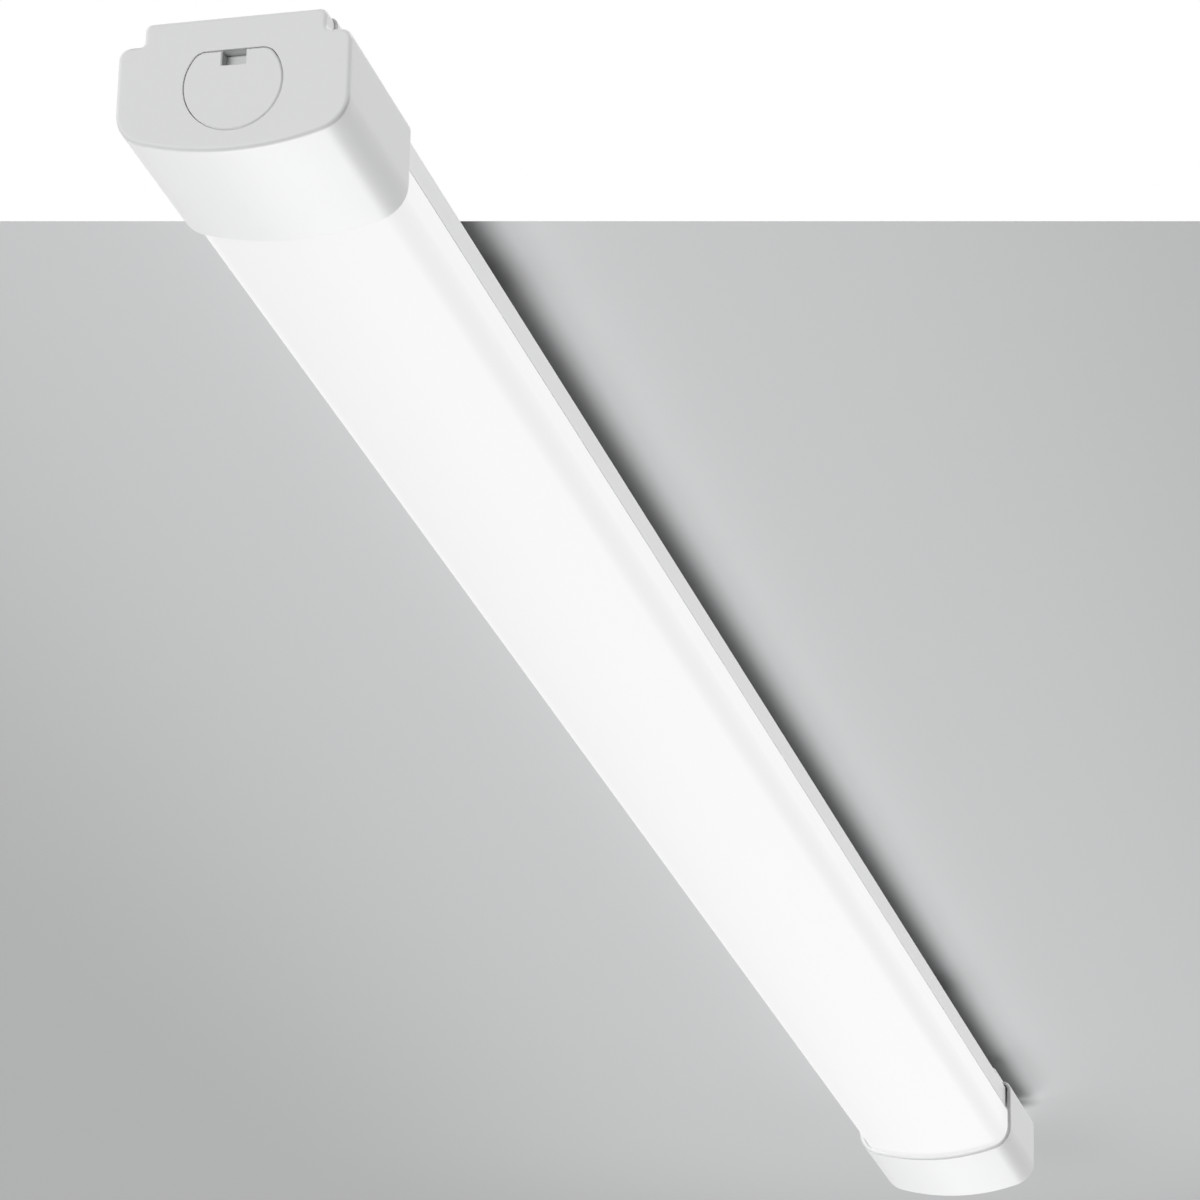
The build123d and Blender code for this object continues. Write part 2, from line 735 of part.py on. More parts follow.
with BuildPart() as rectifier_and_controller:
    with BuildSketch(Plane.XY.offset(pcb_top_z)):
        with Locations((rectifier_x, pcb_width / 4)):
            Rectangle(rectifier_length, rectifier_width)
    extrude(amount=rectifier_height)
    with BuildSketch(Plane.XY.offset(pcb_top_z)):
        with Locations((rectifier_x, -pcb_width / 4)):
            Rectangle(controller_length, controller_width)
    extrude(amount=controller_height)
keep(rectifier_and_controller, "driver_rectifier_and_controller")

with BuildPart() as driver_capacitors:
    for y in (can_y, -can_y):
        with BuildSketch(Plane.YZ.offset(can_x - can_length / 2)):
            with Locations((y, pcb_top_z + can_radius)):
                Circle(can_radius)
        extrude(amount=can_length)
    fillet(driver_capacitors.edges().filter_by(GeomType.CIRCLE), can_bead)
keep(driver_capacitors, "driver_capacitors")

with BuildPart() as transformer_core:
    with BuildSketch(Plane.XY.offset(pcb_top_z)):
        with Locations((core_x, 0)):
            Rectangle(core_length, core_width)
            Rectangle(core_length - 2 * core_wall, core_width - 2 * core_wall, mode=Mode.SUBTRACT)
    extrude(amount=core_height)
keep(transformer_core, "driver_transformer_core")

with BuildPart() as transformer_winding:
    with BuildSketch(Plane.XY.offset(pcb_top_z)):
        with Locations((core_x, 0)):
            RectangleRounded(
                core_length - 2 * (core_wall + winding_gap),
                core_width - 2 * (core_wall + winding_gap),
                winding_radius,
            )
    extrude(amount=core_height)
keep(transformer_winding, "driver_transformer_winding")

# Inner wires, from the socket contacts over the tray's ends
tray_end_x = tray_length / 2
pad_x = fixture_length / 2 - pad_depth
on_tray_z = tray_top_z + wire_radius + wire_seat
upper_z = socket_z + pad_height / 4
lower_z = socket_z - pad_height / 4

for pole, side in (("live", 1), ("neutral", -1)):
    pin_y = side * pin_spacing / 2
    start = [
        (-pad_x, pin_y, upper_z),
        (-pad_x + wire_start, pin_y, upper_z),
        (-tray_end_x - wire_tray_gap, side * through_y, on_tray_z),
    ]
    finish = [(-x, y, z) for x, y, z in reversed(start)]
    wire(f"through_wire_{pole}", start + finish, wire_bend)

    entry_y = side * wire_pair_spacing / 2
    entry_x = terminal_in_x - terminal_length / 2
    wire(
        f"driver_wire_{pole}",
        [
            (-pad_x, pin_y, lower_z),
            (-pad_x + wire_start, pin_y, lower_z),
            (-tray_end_x - wire_tray_gap, entry_y, entry_z),
            (entry_x, entry_y, entry_z),
        ],
        wire_bend,
    )

for pole, side in (("plus", 1), ("minus", -1)):
    exit_y = side * wire_pair_spacing / 2
    exit_x = terminal_out_x + terminal_length / 2
    wire(
        f"led_wire_{pole}",
        [(exit_x, exit_y, entry_z), (wire_hole_x, exit_y, entry_z), (wire_hole_x, exit_y, tray_bottom_z)],
        wire_drop_bend,
    )
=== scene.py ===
# %% [markdown]
# # A vapor tight ceiling light
# The real fixture is a long plastic body between two moulded end caps, held under a ceiling by two
# spring clips. CAD has already settled its sizes and joints, so this lesson only adds what a model
# for the eye needs: smooth skins, finishes, light and a camera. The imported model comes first,
# because everything that follows is placed by it.

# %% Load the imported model
import json
import math

import bmesh
import bpy
from mathutils import Matrix, Vector

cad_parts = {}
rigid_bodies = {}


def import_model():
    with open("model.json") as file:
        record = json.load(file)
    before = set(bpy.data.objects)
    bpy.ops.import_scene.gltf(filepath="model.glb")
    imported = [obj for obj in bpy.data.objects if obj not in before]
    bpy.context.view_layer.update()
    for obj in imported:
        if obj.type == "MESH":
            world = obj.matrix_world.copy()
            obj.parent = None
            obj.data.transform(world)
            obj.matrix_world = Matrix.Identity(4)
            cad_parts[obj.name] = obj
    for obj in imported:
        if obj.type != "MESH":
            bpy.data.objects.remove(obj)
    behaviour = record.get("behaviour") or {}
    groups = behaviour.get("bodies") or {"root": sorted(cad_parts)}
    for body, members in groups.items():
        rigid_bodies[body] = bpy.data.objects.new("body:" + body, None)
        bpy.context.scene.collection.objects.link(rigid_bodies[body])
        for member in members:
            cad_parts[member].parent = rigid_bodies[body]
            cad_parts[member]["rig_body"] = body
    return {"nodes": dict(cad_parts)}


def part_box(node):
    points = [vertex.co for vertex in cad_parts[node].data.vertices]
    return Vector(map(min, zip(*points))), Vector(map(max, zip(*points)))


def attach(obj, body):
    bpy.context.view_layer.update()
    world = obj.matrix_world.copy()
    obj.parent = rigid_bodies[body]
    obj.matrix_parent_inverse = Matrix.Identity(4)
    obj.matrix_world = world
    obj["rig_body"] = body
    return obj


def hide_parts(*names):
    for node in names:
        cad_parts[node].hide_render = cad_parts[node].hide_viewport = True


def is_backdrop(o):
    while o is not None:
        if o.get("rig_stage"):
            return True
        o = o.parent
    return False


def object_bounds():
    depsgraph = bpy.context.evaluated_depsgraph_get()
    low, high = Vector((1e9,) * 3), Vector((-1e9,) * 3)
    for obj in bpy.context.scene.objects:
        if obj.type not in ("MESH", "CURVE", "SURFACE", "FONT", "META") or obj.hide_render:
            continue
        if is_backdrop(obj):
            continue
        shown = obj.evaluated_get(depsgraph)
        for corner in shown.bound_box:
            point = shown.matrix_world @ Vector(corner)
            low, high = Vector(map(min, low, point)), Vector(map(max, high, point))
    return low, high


for leftover in list(bpy.data.objects):
    bpy.data.objects.remove(leftover)
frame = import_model()
cad_low, cad_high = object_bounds()
scene = bpy.context.scene
scene.view_settings.view_transform = "Standard"
MM = 0.001
print("CAD nodes:", len(frame["nodes"]), "size in mm:", [round(s / MM, 1) for s in cad_high - cad_low])

# %% [markdown]
# ## Camera
# The picture looks up at the fixture from beyond its supply end, so the near cap is large and the
# far one small. A camera could be aimed by hand, but its place and its three directions were worked
# out from the corners of the caps, and setting them as a matrix keeps them exact.

# %% Camera
IMAGE_SIDE = 1200
LENS, SENSOR = 170.675, 36.0
eye = Vector((-2.06695, -0.49335, -0.78794))
look = Vector((0.903045, 0.23109, 0.362088)).normalized()
right = look.cross(Vector((-0.35634, -0.067677, 0.931902))).normalized()
up = right.cross(look)

camera_data = bpy.data.cameras.new("picture_camera")
camera_data.lens, camera_data.sensor_width = LENS, SENSOR
camera_data.clip_start, camera_data.clip_end = 0.05, 50
camera = bpy.data.objects.new("picture_camera", camera_data)
camera.matrix_world = Matrix.Translation(eye) @ Matrix((right, up, -look)).transposed().to_4x4()
scene.collection.objects.link(camera)
scene.camera = camera
print("camera to middle of fixture, m:", round(eye.length, 3))

# %% [markdown]
# ## Ceiling and floor
# The fixture hangs under a pale grey panel, the room behind it is white, and a pale floor takes its
# shadow in the views from above. A real panel would shut out the light from above and hide the clips
# from most sides, so both backdrops here have one face only: their material is there for rays that see
# its front and lets every other ray through. The panel's paint carries a painted shadow where the
# fixture nearly touches it and a painted fall-off of the lamp's light farther off. Both are ramps over
# the distance from the fixture.


# %% Nodes and rays
def new_node(tree, kind, **settings):
    """Add a node to a tree and set its plain properties."""
    made = tree.nodes.new(kind)
    for name, value in settings.items():
        setattr(made, name, value)
    return made


def seen_directly(tree):
    """Socket that is 1 for camera, glossy and transmission rays, and 0 for rays that carry light."""
    path = new_node(tree, "ShaderNodeLightPath")
    total = path.outputs["Is Camera Ray"]
    for ray in ("Is Glossy Ray", "Is Transmission Ray"):
        either = new_node(tree, "ShaderNodeMath", operation="MAXIMUM")
        tree.links.new(total, either.inputs[0])
        tree.links.new(path.outputs[ray], either.inputs[1])
        total = either.outputs[0]
    return total


# %% Painted shade round the fixture
def distance_shade(tree, half_length, half_width, ramps):
    """Socket that multiplies smooth ramps over the distance from a rectangle at the origin."""
    where = new_node(tree, "ShaderNodeTexCoord")
    size = new_node(tree, "ShaderNodeVectorMath", operation="ABSOLUTE")
    tree.links.new(where.outputs["Object"], size.inputs[0])
    beyond = new_node(tree, "ShaderNodeVectorMath", operation="SUBTRACT")
    tree.links.new(size.outputs[0], beyond.inputs[0])
    beyond.inputs[1].default_value = (half_length, half_width, 1.0)
    outside = new_node(tree, "ShaderNodeVectorMath", operation="MAXIMUM")
    tree.links.new(beyond.outputs[0], outside.inputs[0])
    distance = new_node(tree, "ShaderNodeVectorMath", operation="LENGTH")
    tree.links.new(outside.outputs[0], distance.inputs[0])
    shade = None
    for limits in ramps:
        ramp = new_node(tree, "ShaderNodeMapRange", interpolation_type="SMOOTHSTEP")
        tree.links.new(distance.outputs["Value"], ramp.inputs["Value"])
        for name, value in zip(("From Min", "From Max", "To Min", "To Max"), limits):
            ramp.inputs[name].default_value = value
        product = new_node(tree, "ShaderNodeMath", operation="MULTIPLY")
        product.inputs[0].default_value = 1.0
        if shade is not None:
            tree.links.new(shade, product.inputs[0])
        tree.links.new(ramp.outputs["Result"], product.inputs[1])
        shade = product.outputs[0]
    return shade


# %% One-sided backdrop
def backdrop(name, corners, colour, **shade):
    """A flat panel that shows its front face only, with a painted shade round the fixture if one is
    given.
    """
    material = bpy.data.materials.new(name)
    material.use_nodes = True
    tree = material.node_tree
    tree.nodes.clear()
    front = new_node(tree, "ShaderNodeMath", operation="GREATER_THAN")
    geometry = new_node(tree, "ShaderNodeNewGeometry")
    both = new_node(tree, "ShaderNodeMath", operation="SUBTRACT", use_clamp=True)
    tree.links.new(seen_directly(tree), both.inputs[0])
    tree.links.new(geometry.outputs["Backfacing"], both.inputs[1])
    tree.links.new(both.outputs[0], front.inputs[0])
    front.inputs[1].default_value = 0.5
    clear = new_node(tree, "ShaderNodeBsdfTransparent")
    paint = new_node(tree, "ShaderNodeBsdfDiffuse")
    paint.inputs["Color"].default_value = (*colour, 1)
    if shade:
        painted_shade = new_node(tree, "ShaderNodeHueSaturation")
        painted_shade.inputs["Color"].default_value = (*colour, 1)
        tree.links.new(distance_shade(tree, **shade), painted_shade.inputs["Value"])
        tree.links.new(painted_shade.outputs[0], paint.inputs["Color"])
    mix = new_node(tree, "ShaderNodeMixShader")
    tree.links.new(front.outputs[0], mix.inputs[0])
    tree.links.new(clear.outputs[0], mix.inputs[1])
    tree.links.new(paint.outputs[0], mix.inputs[2])
    out = new_node(tree, "ShaderNodeOutputMaterial")
    tree.links.new(mix.outputs[0], out.inputs["Surface"])
    mesh = bpy.data.meshes.new(name)
    mesh.from_pydata(corners, [], [range(len(corners))])
    mesh.materials.append(material)
    panel = bpy.data.objects.new(name, mesh)
    scene.collection.objects.link(panel)
    panel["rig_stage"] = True
    return panel


# %% Ceiling panel and pale floor
CEILING_GREY, FLOOR_WHITE = (0.61, 0.615, 0.62), (0.8, 0.8, 0.8)
PANEL_EDGE_ROW = 222  # row of the picture where the panel ends
PANEL_REACH = 6  # picture widths that it goes on to either side
BACKDROP_GAP = 0.0003
FLOOR_HALF = 6.0
# Painted contact shadow: the panel's paint is darker near the fixture.
SHADED_HALF = 0.026  # half the width of the dark strip above the body
PAINTED_CONTACT_SHADOW = (0.0, 0.016, 0.22, 1.0)  # dark where the fixture nearly touches the panel
# Painted fall-off of the lit front's light on the panel.
PAINTED_GLOW_FADE = (0.08, 0.36, 1.0, 0.8)  # the lamp's own light on the panel gets weaker


def on_ceiling(column, row):
    """Point of the ceiling plane that a pixel of the picture looks at."""
    span = SENSOR / LENS / IMAGE_SIDE
    ray = look + (column - IMAGE_SIDE / 2) * span * right + (IMAGE_SIDE / 2 - row) * span * up
    return eye - ray * (eye.z / ray.z)


lift = Vector((0, 0, BACKDROP_GAP))
away = Vector((look.x, look.y, 0)).normalized() * FLOOR_HALF
sides = (-PANEL_REACH * IMAGE_SIDE, (PANEL_REACH + 1) * IMAGE_SIDE)
edge = [on_ceiling(column, PANEL_EDGE_ROW) + lift for column in sides]
ceiling = backdrop(
    "ceiling_panel", [edge[0], edge[0] + away, edge[1] + away, edge[1]], CEILING_GREY,
    half_length=cad_high.x, half_width=SHADED_HALF, ramps=(PAINTED_CONTACT_SHADOW, PAINTED_GLOW_FADE),
)
if ceiling.data.polygons[0].normal.z > 0:
    ceiling.data.flip_normals()
ceiling.visible_glossy = False  # it nearly touches the clips, which would mirror its dark side
floor_z = cad_low.z - BACKDROP_GAP
signs = ((-1, -1), (1, -1), (1, 1), (-1, 1))
floor_corners = [(x * FLOOR_HALF, y * FLOOR_HALF, floor_z) for x, y in signs]
backdrop("pale_floor", floor_corners, FLOOR_WHITE)
print("panel edge, m:", [tuple(round(c, 2) for c in corner) for corner in edge])

# %% [markdown]
# ## Light
# Product pictures use large soft boxes on every side. Area lamps would do, but they fade along a
# long fixture. Suns with a wide disc stay even over the whole length, and their strength divided by
# pi is the brightness that a white surface facing them gets, which makes the mix easy to plan. The
# strongest one shines from below and beyond the far end, so the edges towards the camera turn dark.


# %% Suns
SUN_DISC = 40.0  # degrees


def soft_sun(name, towards, level):
    """A wide sun in the given direction. A white face turned to it gets the given brightness."""
    lamp = bpy.data.lights.new(name, "SUN")
    lamp.energy = level * math.pi
    lamp.angle = math.radians(SUN_DISC)
    sun = bpy.data.objects.new(name, lamp)
    sun.rotation_mode = "QUATERNION"
    sun.rotation_quaternion = (-Vector(towards)).to_track_quat("-Z", "Y")
    scene.collection.objects.link(sun)


soft_sun("below_far_end", (0.68, 0.02, -0.73), 0.98)
soft_sun("near_end", (-0.95, 0.30, -0.1), 0.69)
soft_sun("above_right", (0.33, -0.66, 0.675), 0.73)
soft_sun("above_left", (0.0, 0.86, 0.51), 0.16)

# %% World
AMBIENT = 0.09
world = bpy.data.worlds.new("soft_room")
world.use_nodes = True
scene.world = world
tree = world.node_tree
tree.nodes.clear()
room_light = new_node(tree, "ShaderNodeBackground")
room_light.inputs["Strength"].default_value = AMBIENT
white_room = new_node(tree, "ShaderNodeBackground")
for background in (room_light, white_room):
    background.inputs["Color"].default_value = (1, 1, 1, 1)
room_mix = new_node(tree, "ShaderNodeMixShader")
tree.links.new(seen_directly(tree), room_mix.inputs[0])
tree.links.new(room_light.outputs[0], room_mix.inputs[1])
tree.links.new(white_room.outputs[0], room_mix.inputs[2])
tree.links.new(room_mix.outputs[0], new_node(tree, "ShaderNodeOutputWorld").inputs["Surface"])
print("light from all round:", AMBIENT)

# %% [markdown]
# ## Surface marks shared by every finish
# Moulded plastic has a fine grain, an extrusion has faint lines along its length and sheet metal has
# its rolling lines. All three are the same thing: noise, stretched more or less along one axis. So
# one node group makes it, and each finish gives it its own density along X, Y and Z.


# %% Node group for surface marks
def build_surface_marks():
    """Group that varies a colour and a roughness and gives a height for bump."""
    group = bpy.data.node_groups.new("surface_marks", "ShaderNodeTree")
    inputs = {
        "Colour": "NodeSocketColor",
        "Tone change": "NodeSocketFloat",
        "Roughness": "NodeSocketFloat",
        "Gloss change": "NodeSocketFloat",
        "Marks per metre": "NodeSocketVector",
        "Clouds per metre": "NodeSocketFloat",
    }
    outputs = {"Colour": "NodeSocketColor", "Roughness": "NodeSocketFloat", "Height": "NodeSocketFloat"}
    for way, sockets in (("INPUT", inputs), ("OUTPUT", outputs)):
        for name, kind in sockets.items():
            group.interface.new_socket(name=name, in_out=way, socket_type=kind)
    given = new_node(group, "NodeGroupInput")
    result = new_node(group, "NodeGroupOutput")
    where = new_node(group, "ShaderNodeTexCoord")

    stretch = new_node(group, "ShaderNodeVectorMath", operation="MULTIPLY")
    group.links.new(where.outputs["Object"], stretch.inputs[0])
    group.links.new(given.outputs["Marks per metre"], stretch.inputs[1])
    marks = new_node(group, "ShaderNodeTexNoise")
    marks.inputs["Scale"].default_value = 1.0
    marks.inputs["Detail"].default_value = 3.0
    group.links.new(stretch.outputs[0], marks.inputs["Vector"])
    clouds = new_node(group, "ShaderNodeTexNoise")
    clouds.inputs["Detail"].default_value = 2.0
    group.links.new(where.outputs["Object"], clouds.inputs["Vector"])
    group.links.new(given.outputs["Clouds per metre"], clouds.inputs["Scale"])

    both = new_node(group, "ShaderNodeMath", operation="ADD")
    group.links.new(marks.outputs[0], both.inputs[0])
    group.links.new(clouds.outputs[0], both.inputs[1])
    centred = new_node(group, "ShaderNodeMath", operation="SUBTRACT")
    group.links.new(both.outputs[0], centred.inputs[0])
    centred.inputs[1].default_value = 1.0
    tone = new_node(group, "ShaderNodeMath", operation="MULTIPLY_ADD")
    group.links.new(centred.outputs[0], tone.inputs[0])
    group.links.new(given.outputs["Tone change"], tone.inputs[1])
    tone.inputs[2].default_value = 1.0
    tint = new_node(group, "ShaderNodeHueSaturation")
    group.links.new(given.outputs["Colour"], tint.inputs["Color"])
    group.links.new(tone.outputs[0], tint.inputs["Value"])
    gloss = new_node(group, "ShaderNodeMath", operation="MULTIPLY_ADD")
    group.links.new(centred.outputs[0], gloss.inputs[0])
    group.links.new(given.outputs["Gloss change"], gloss.inputs[1])
    group.links.new(given.outputs["Roughness"], gloss.inputs[2])

    group.links.new(tint.outputs[0], result.inputs["Colour"])
    group.links.new(gloss.outputs[0], result.inputs["Roughness"])
    group.links.new(marks.outputs[0], result.inputs["Height"])
    return group


surface_marks = build_surface_marks()
print("node group:", surface_marks.name, "with", len(surface_marks.nodes), "nodes")

# %% [markdown]
# ## Finishes
# A finish is a Principled shader fed by the marks group. What differs from one plastic to the next is
# only numbers, so a function builds each finish from a row of them. Values that are the same all over
# the surface are set straight on the shader, where the export can read them.


# %% Build a finish
RELIEF_DEPTH = 0.0001


def finish(slot, colour, roughness, marks, tone=0.03, gloss=0.08, bump=0.1, clouds=30.0, **plain):
    """A material named after its slot of the record. The marks are per metre along X, Y and Z."""
    material = bpy.data.materials.new(slot)
    material.use_nodes = True
    tree = material.node_tree
    shader = tree.nodes["Principled BSDF"]
    group = new_node(tree, "ShaderNodeGroup", node_tree=surface_marks)
    group.inputs["Colour"].default_value = (*colour, 1)
    group.inputs["Tone change"].default_value = tone
    group.inputs["Roughness"].default_value = roughness
    group.inputs["Gloss change"].default_value = gloss
    group.inputs["Marks per metre"].default_value = marks
    group.inputs["Clouds per metre"].default_value = clouds
    relief = new_node(tree, "ShaderNodeBump")
    relief.inputs["Strength"].default_value = bump
    relief.inputs["Distance"].default_value = RELIEF_DEPTH
    tree.links.new(group.outputs["Colour"], shader.inputs["Base Color"])
    tree.links.new(group.outputs["Roughness"], shader.inputs["Roughness"])
    tree.links.new(group.outputs["Height"], relief.inputs["Height"])
    tree.links.new(relief.outputs[0], shader.inputs["Normal"])
    for name, value in plain.items():
        shader.inputs[name.replace("_", " ").title().replace("Ior", "IOR")].default_value = value
    return material


print("depth of the relief, m:", RELIEF_DEPTH)

# %% Recipes
GRAIN = (2600, 2600, 2600)  # moulded skin
ALONG_X = (4, 1400, 1400)  # drawn or rolled along the fixture
ALONG_Y = (1400, 6, 6)  # strip rolled across the fixture
# The notch colour is painted shade for the shadow inside the cover's recess.
CAP_WHITE, NOTCH_PAINTED_SHADE = (0.87, 0.875, 0.875), (0.62, 0.625, 0.625)
CHIP_BODY, CHIP_WINDOW = (0.85, 0.85, 0.82), (0.9, 0.66, 0.12)
recipes = {
    "cap_plastic": dict(
        colour=CAP_WHITE, roughness=0.42, marks=GRAIN, tone=0.015, specular_ior_level=0.25,
    ),
    "cover_plastic": dict(
        colour=CAP_WHITE, roughness=0.44, marks=GRAIN, tone=0.015, specular_ior_level=0.25,
    ),
    "base_plastic": dict(colour=(0.955, 0.96, 0.965), roughness=0.45, marks=ALONG_X, tone=0.02),
    "opal_plastic": dict(
        colour=(0.08, 0.08, 0.08), roughness=0.45, marks=ALONG_X,
        tone=0.006, bump=0.03, specular_ior_level=0.1,
    ),
    "clip_steel": dict(
        colour=(0.40, 0.40, 0.41), roughness=0.36, marks=ALONG_Y,
        tone=0.3, gloss=0.3, clouds=60.0, metallic=1.0,
    ),
    "screw_steel": dict(colour=(0.42, 0.42, 0.43), roughness=0.3, marks=GRAIN, tone=0.1, metallic=1.0),
    "contact_brass": dict(
        colour=(0.78, 0.57, 0.22), roughness=0.24, marks=(40, 3000, 3000), tone=0.1, metallic=1.0,
    ),
    "socket_plastic": dict(colour=(0.76, 0.765, 0.77), roughness=0.5, marks=GRAIN),
    "seal_rubber": dict(colour=(0.62, 0.62, 0.63), roughness=0.62, marks=GRAIN, bump=0.2),
    "tray_aluminium": dict(
        colour=(0.55, 0.56, 0.57), roughness=0.35, marks=ALONG_X, tone=0.08, metallic=1.0,
    ),
    "board_white": dict(colour=(0.86, 0.86, 0.83), roughness=0.3, marks=(300, 900, 900), tone=0.03),
    "chip_phosphor": dict(colour=CHIP_WINDOW, roughness=0.35, marks=(9000, 9000, 9000), tone=0.1),
    "bridge_white": dict(colour=(0.84, 0.83, 0.8), roughness=0.4, marks=GRAIN),
    "case_plastic": dict(colour=(0.8, 0.8, 0.78), roughness=0.5, marks=GRAIN),
    "pcb_green": dict(colour=(0.015, 0.12, 0.045), roughness=0.3, marks=(700, 700, 700), tone=0.25),
    "terminal_green": dict(colour=(0.03, 0.22, 0.08), roughness=0.42, marks=GRAIN),
    "fuse_ceramic": dict(colour=(0.8, 0.78, 0.72), roughness=0.3, marks=GRAIN),
    "choke_copper": dict(
        colour=(0.42, 0.1, 0.025), roughness=0.28, marks=(60, 60, 1800), tone=0.5, bump=0.8,
    ),
    "film_yellow": dict(colour=(0.72, 0.45, 0.03), roughness=0.35, marks=GRAIN),
    "chip_black": dict(colour=(0.02, 0.02, 0.02), roughness=0.5, marks=GRAIN),
    "can_sleeve": dict(colour=(0.012, 0.016, 0.04), roughness=0.28, marks=(20, 900, 900)),
    "core_ferrite": dict(colour=(0.03, 0.03, 0.032), roughness=0.6, marks=(1500, 1500, 1500), tone=0.2),
    "winding_tape": dict(colour=(0.8, 0.55, 0.05), roughness=0.25, marks=(900, 900, 30)),
    "wire_brown": dict(colour=(0.12, 0.04, 0.012), roughness=0.45, marks=GRAIN),
    "wire_blue": dict(colour=(0.02, 0.08, 0.35), roughness=0.45, marks=GRAIN),
    "wire_red": dict(colour=(0.42, 0.012, 0.01), roughness=0.45, marks=GRAIN),
    "wire_black": dict(colour=(0.015, 0.015, 0.015), roughness=0.45, marks=GRAIN),
}
finishes = {slot: finish(slot, **recipe) for slot, recipe in recipes.items()}
print("finishes:", len(finishes))

# %% [markdown]
# Three finishes need one thing more. A light chip has a yellow window in a white body, and the notch of
# a socket cover gets a painted shade, greyer than its face, for the shadow inside its recess. For both,
# an attribute of the faces chooses between two colours. The opal front glows, because the lamp behind
# it is lit.


# %% Two-tone finishes, the notch's painted shade and the glowing front
def two_tone_and_painted_shade(slot, attribute, plain, marked):
    """Let an attribute of a piece's faces choose between two colours."""
    tree = finishes[slot].node_tree
    mark = new_node(tree, "ShaderNodeAttribute", attribute_name=attribute)
    mix = new_node(tree, "ShaderNodeMix", data_type="RGBA")
    plain_socket, marked_socket = mix.inputs[6], mix.inputs[7]
    plain_socket.default_value, marked_socket.default_value = (*plain, 1), (*marked, 1)
    tree.links.new(mark.outputs["Fac"], mix.inputs[0])
    tree.links.new(mix.outputs[2], tree.nodes["Group"].inputs["Colour"])


two_tone_and_painted_shade("chip_phosphor", "window", CHIP_BODY, CHIP_WINDOW)
# Painted shade inside the cover's notch.
two_tone_and_painted_shade("cover_plastic", "notch", CAP_WHITE, NOTCH_PAINTED_SHADE)
GLOW = 0.775
opal_shader = finishes["opal_plastic"].node_tree.nodes["Principled BSDF"]
opal_shader.inputs["Emission Color"].default_value = (1, 1, 1, 1)
opal_shader.inputs["Emission Strength"].default_value = GLOW
print("glow of the front:", GLOW)

# %% [markdown]
# ## Cross-section of the fixture
# Caps, diffuser and base all follow one outline: a raised back, a step at each shoulder, straight
# sides and a gently crowned front. Drawing it once, with an inset, gives every skin that is parallel
# to it. Each corner always has the same number of points, so two outlines can be joined point by
# point.

# %% Outline
CAP_HALF, CAP_BACK, CAP_FRONT = 37.0, -1.1, -46.2
BLOCK_HALF, CAP_SHOULDER = 30.0, -8.5
BLOCK_RADIUS, ROOT_RADIUS, SHOULDER_RADIUS, FRONT_RADIUS = 2.5, 1.5, 4.0, 11.8
LEAST_RADIUS = 0.5
CORNER_STEPS, CROWN_STEPS = 14, 18
FRONT_RISE = 7.3
CROWN_RADIUS = (CAP_HALF**2 + FRONT_RISE**2) / (2 * FRONT_RISE)
CROWN_Z = CAP_FRONT + CROWN_RADIUS


def arc(centre, radius, start, stop, steps=8):
    """Points of an arc, from one angle to another in degrees, with both ends."""
    angles = [math.radians(start + (stop - start) * k / steps) for k in range(steps + 1)]
    return [(centre[0] + radius * math.cos(a), centre[1] + radius * math.sin(a)) for a in angles]


def front_half(inset):
    """Right half of the front: the corner below the side, then the crown to the middle."""
    crown = CROWN_RADIUS - inset
    corner = max(FRONT_RADIUS - inset, LEAST_RADIUS)
    y = CAP_HALF - inset - corner
    z = CROWN_Z - math.sqrt((crown - corner) ** 2 - y**2)
    meet = math.degrees(math.atan2(z - CROWN_Z, y))
    middle = arc((0, CROWN_Z), crown, meet, -90, CROWN_STEPS)
    return arc((y, z), corner, 0, meet, CORNER_STEPS) + middle[1:]


def back_half(inset, setback=0.0, root=ROOT_RADIUS):
    """Right half of the back: the raised middle, the step and the shoulder."""
    half, block = CAP_HALF - inset, BLOCK_HALF - inset - setback
    back, shoulder = CAP_BACK - inset, CAP_SHOULDER - inset
    top = max(BLOCK_RADIUS - inset, LEAST_RADIUS)
    side = max(SHOULDER_RADIUS - inset, LEAST_RADIUS)
    return (
        [(0.0, back)]
        + arc((block - top, back - top), top, 90, 0)
        + arc((block + root, shoulder + root), root, 180, 270)
        + arc((half - side, shoulder - side), side, 90, 0)
    )


def mirrored(half):
    """Close a right half, drawn from the middle of the back to the middle of the front."""
    return half + [(-y, z) for y, z in reversed(half[1:-1])]


print("points in an outline:", len(mirrored(back_half(0) + front_half(0))))

# %% [markdown]
# ## From mesh code to a finished piece
# Every piece ends the same way: doubled points are merged, edges sharper than a limit stay crisp and
# the rest are shaded smooth. The Weighted Normal modifier then lets large flat faces keep their flat
# shading beside a small rounding. Its result is stored in the mesh, so the piece carries no modifier.


# %% Finish a mesh and hand it to a body
def evaluated_mesh(piece):
    """Plain mesh of an object with its modifiers worked out."""
    graph = bpy.context.evaluated_depsgraph_get()
    shaped = piece.evaluated_get(graph)
    return bpy.data.meshes.new_from_object(shaped, preserve_all_data_layers=True, depsgraph=graph)


def smooth_mesh(bm, name, crease=32.0, merge=1e-6):
    """Merge, crease and shade a bmesh, and give back the mesh."""
    bmesh.ops.remove_doubles(bm, verts=bm.verts, dist=merge)
    bmesh.ops.dissolve_degenerate(bm, edges=bm.edges, dist=merge)
    bmesh.ops.recalc_face_normals(bm, faces=bm.faces)
    limit = math.radians(crease)
    for face in bm.faces:
        face.smooth = True
    for border in bm.edges:
        border.smooth = len(border.link_faces) == 2 and border.calc_face_angle() < limit
    rough = bpy.data.meshes.new(name)
    bm.to_mesh(rough)
    bm.free()
    holder = bpy.data.objects.new(name, rough)
    scene.collection.objects.link(holder)
    weighted = holder.modifiers.new("weighted", "WEIGHTED_NORMAL")
    weighted.keep_sharp = True
    made = evaluated_mesh(holder)
    bpy.data.objects.remove(holder)
    bpy.data.meshes.remove(rough)
    made.name = name
    return made


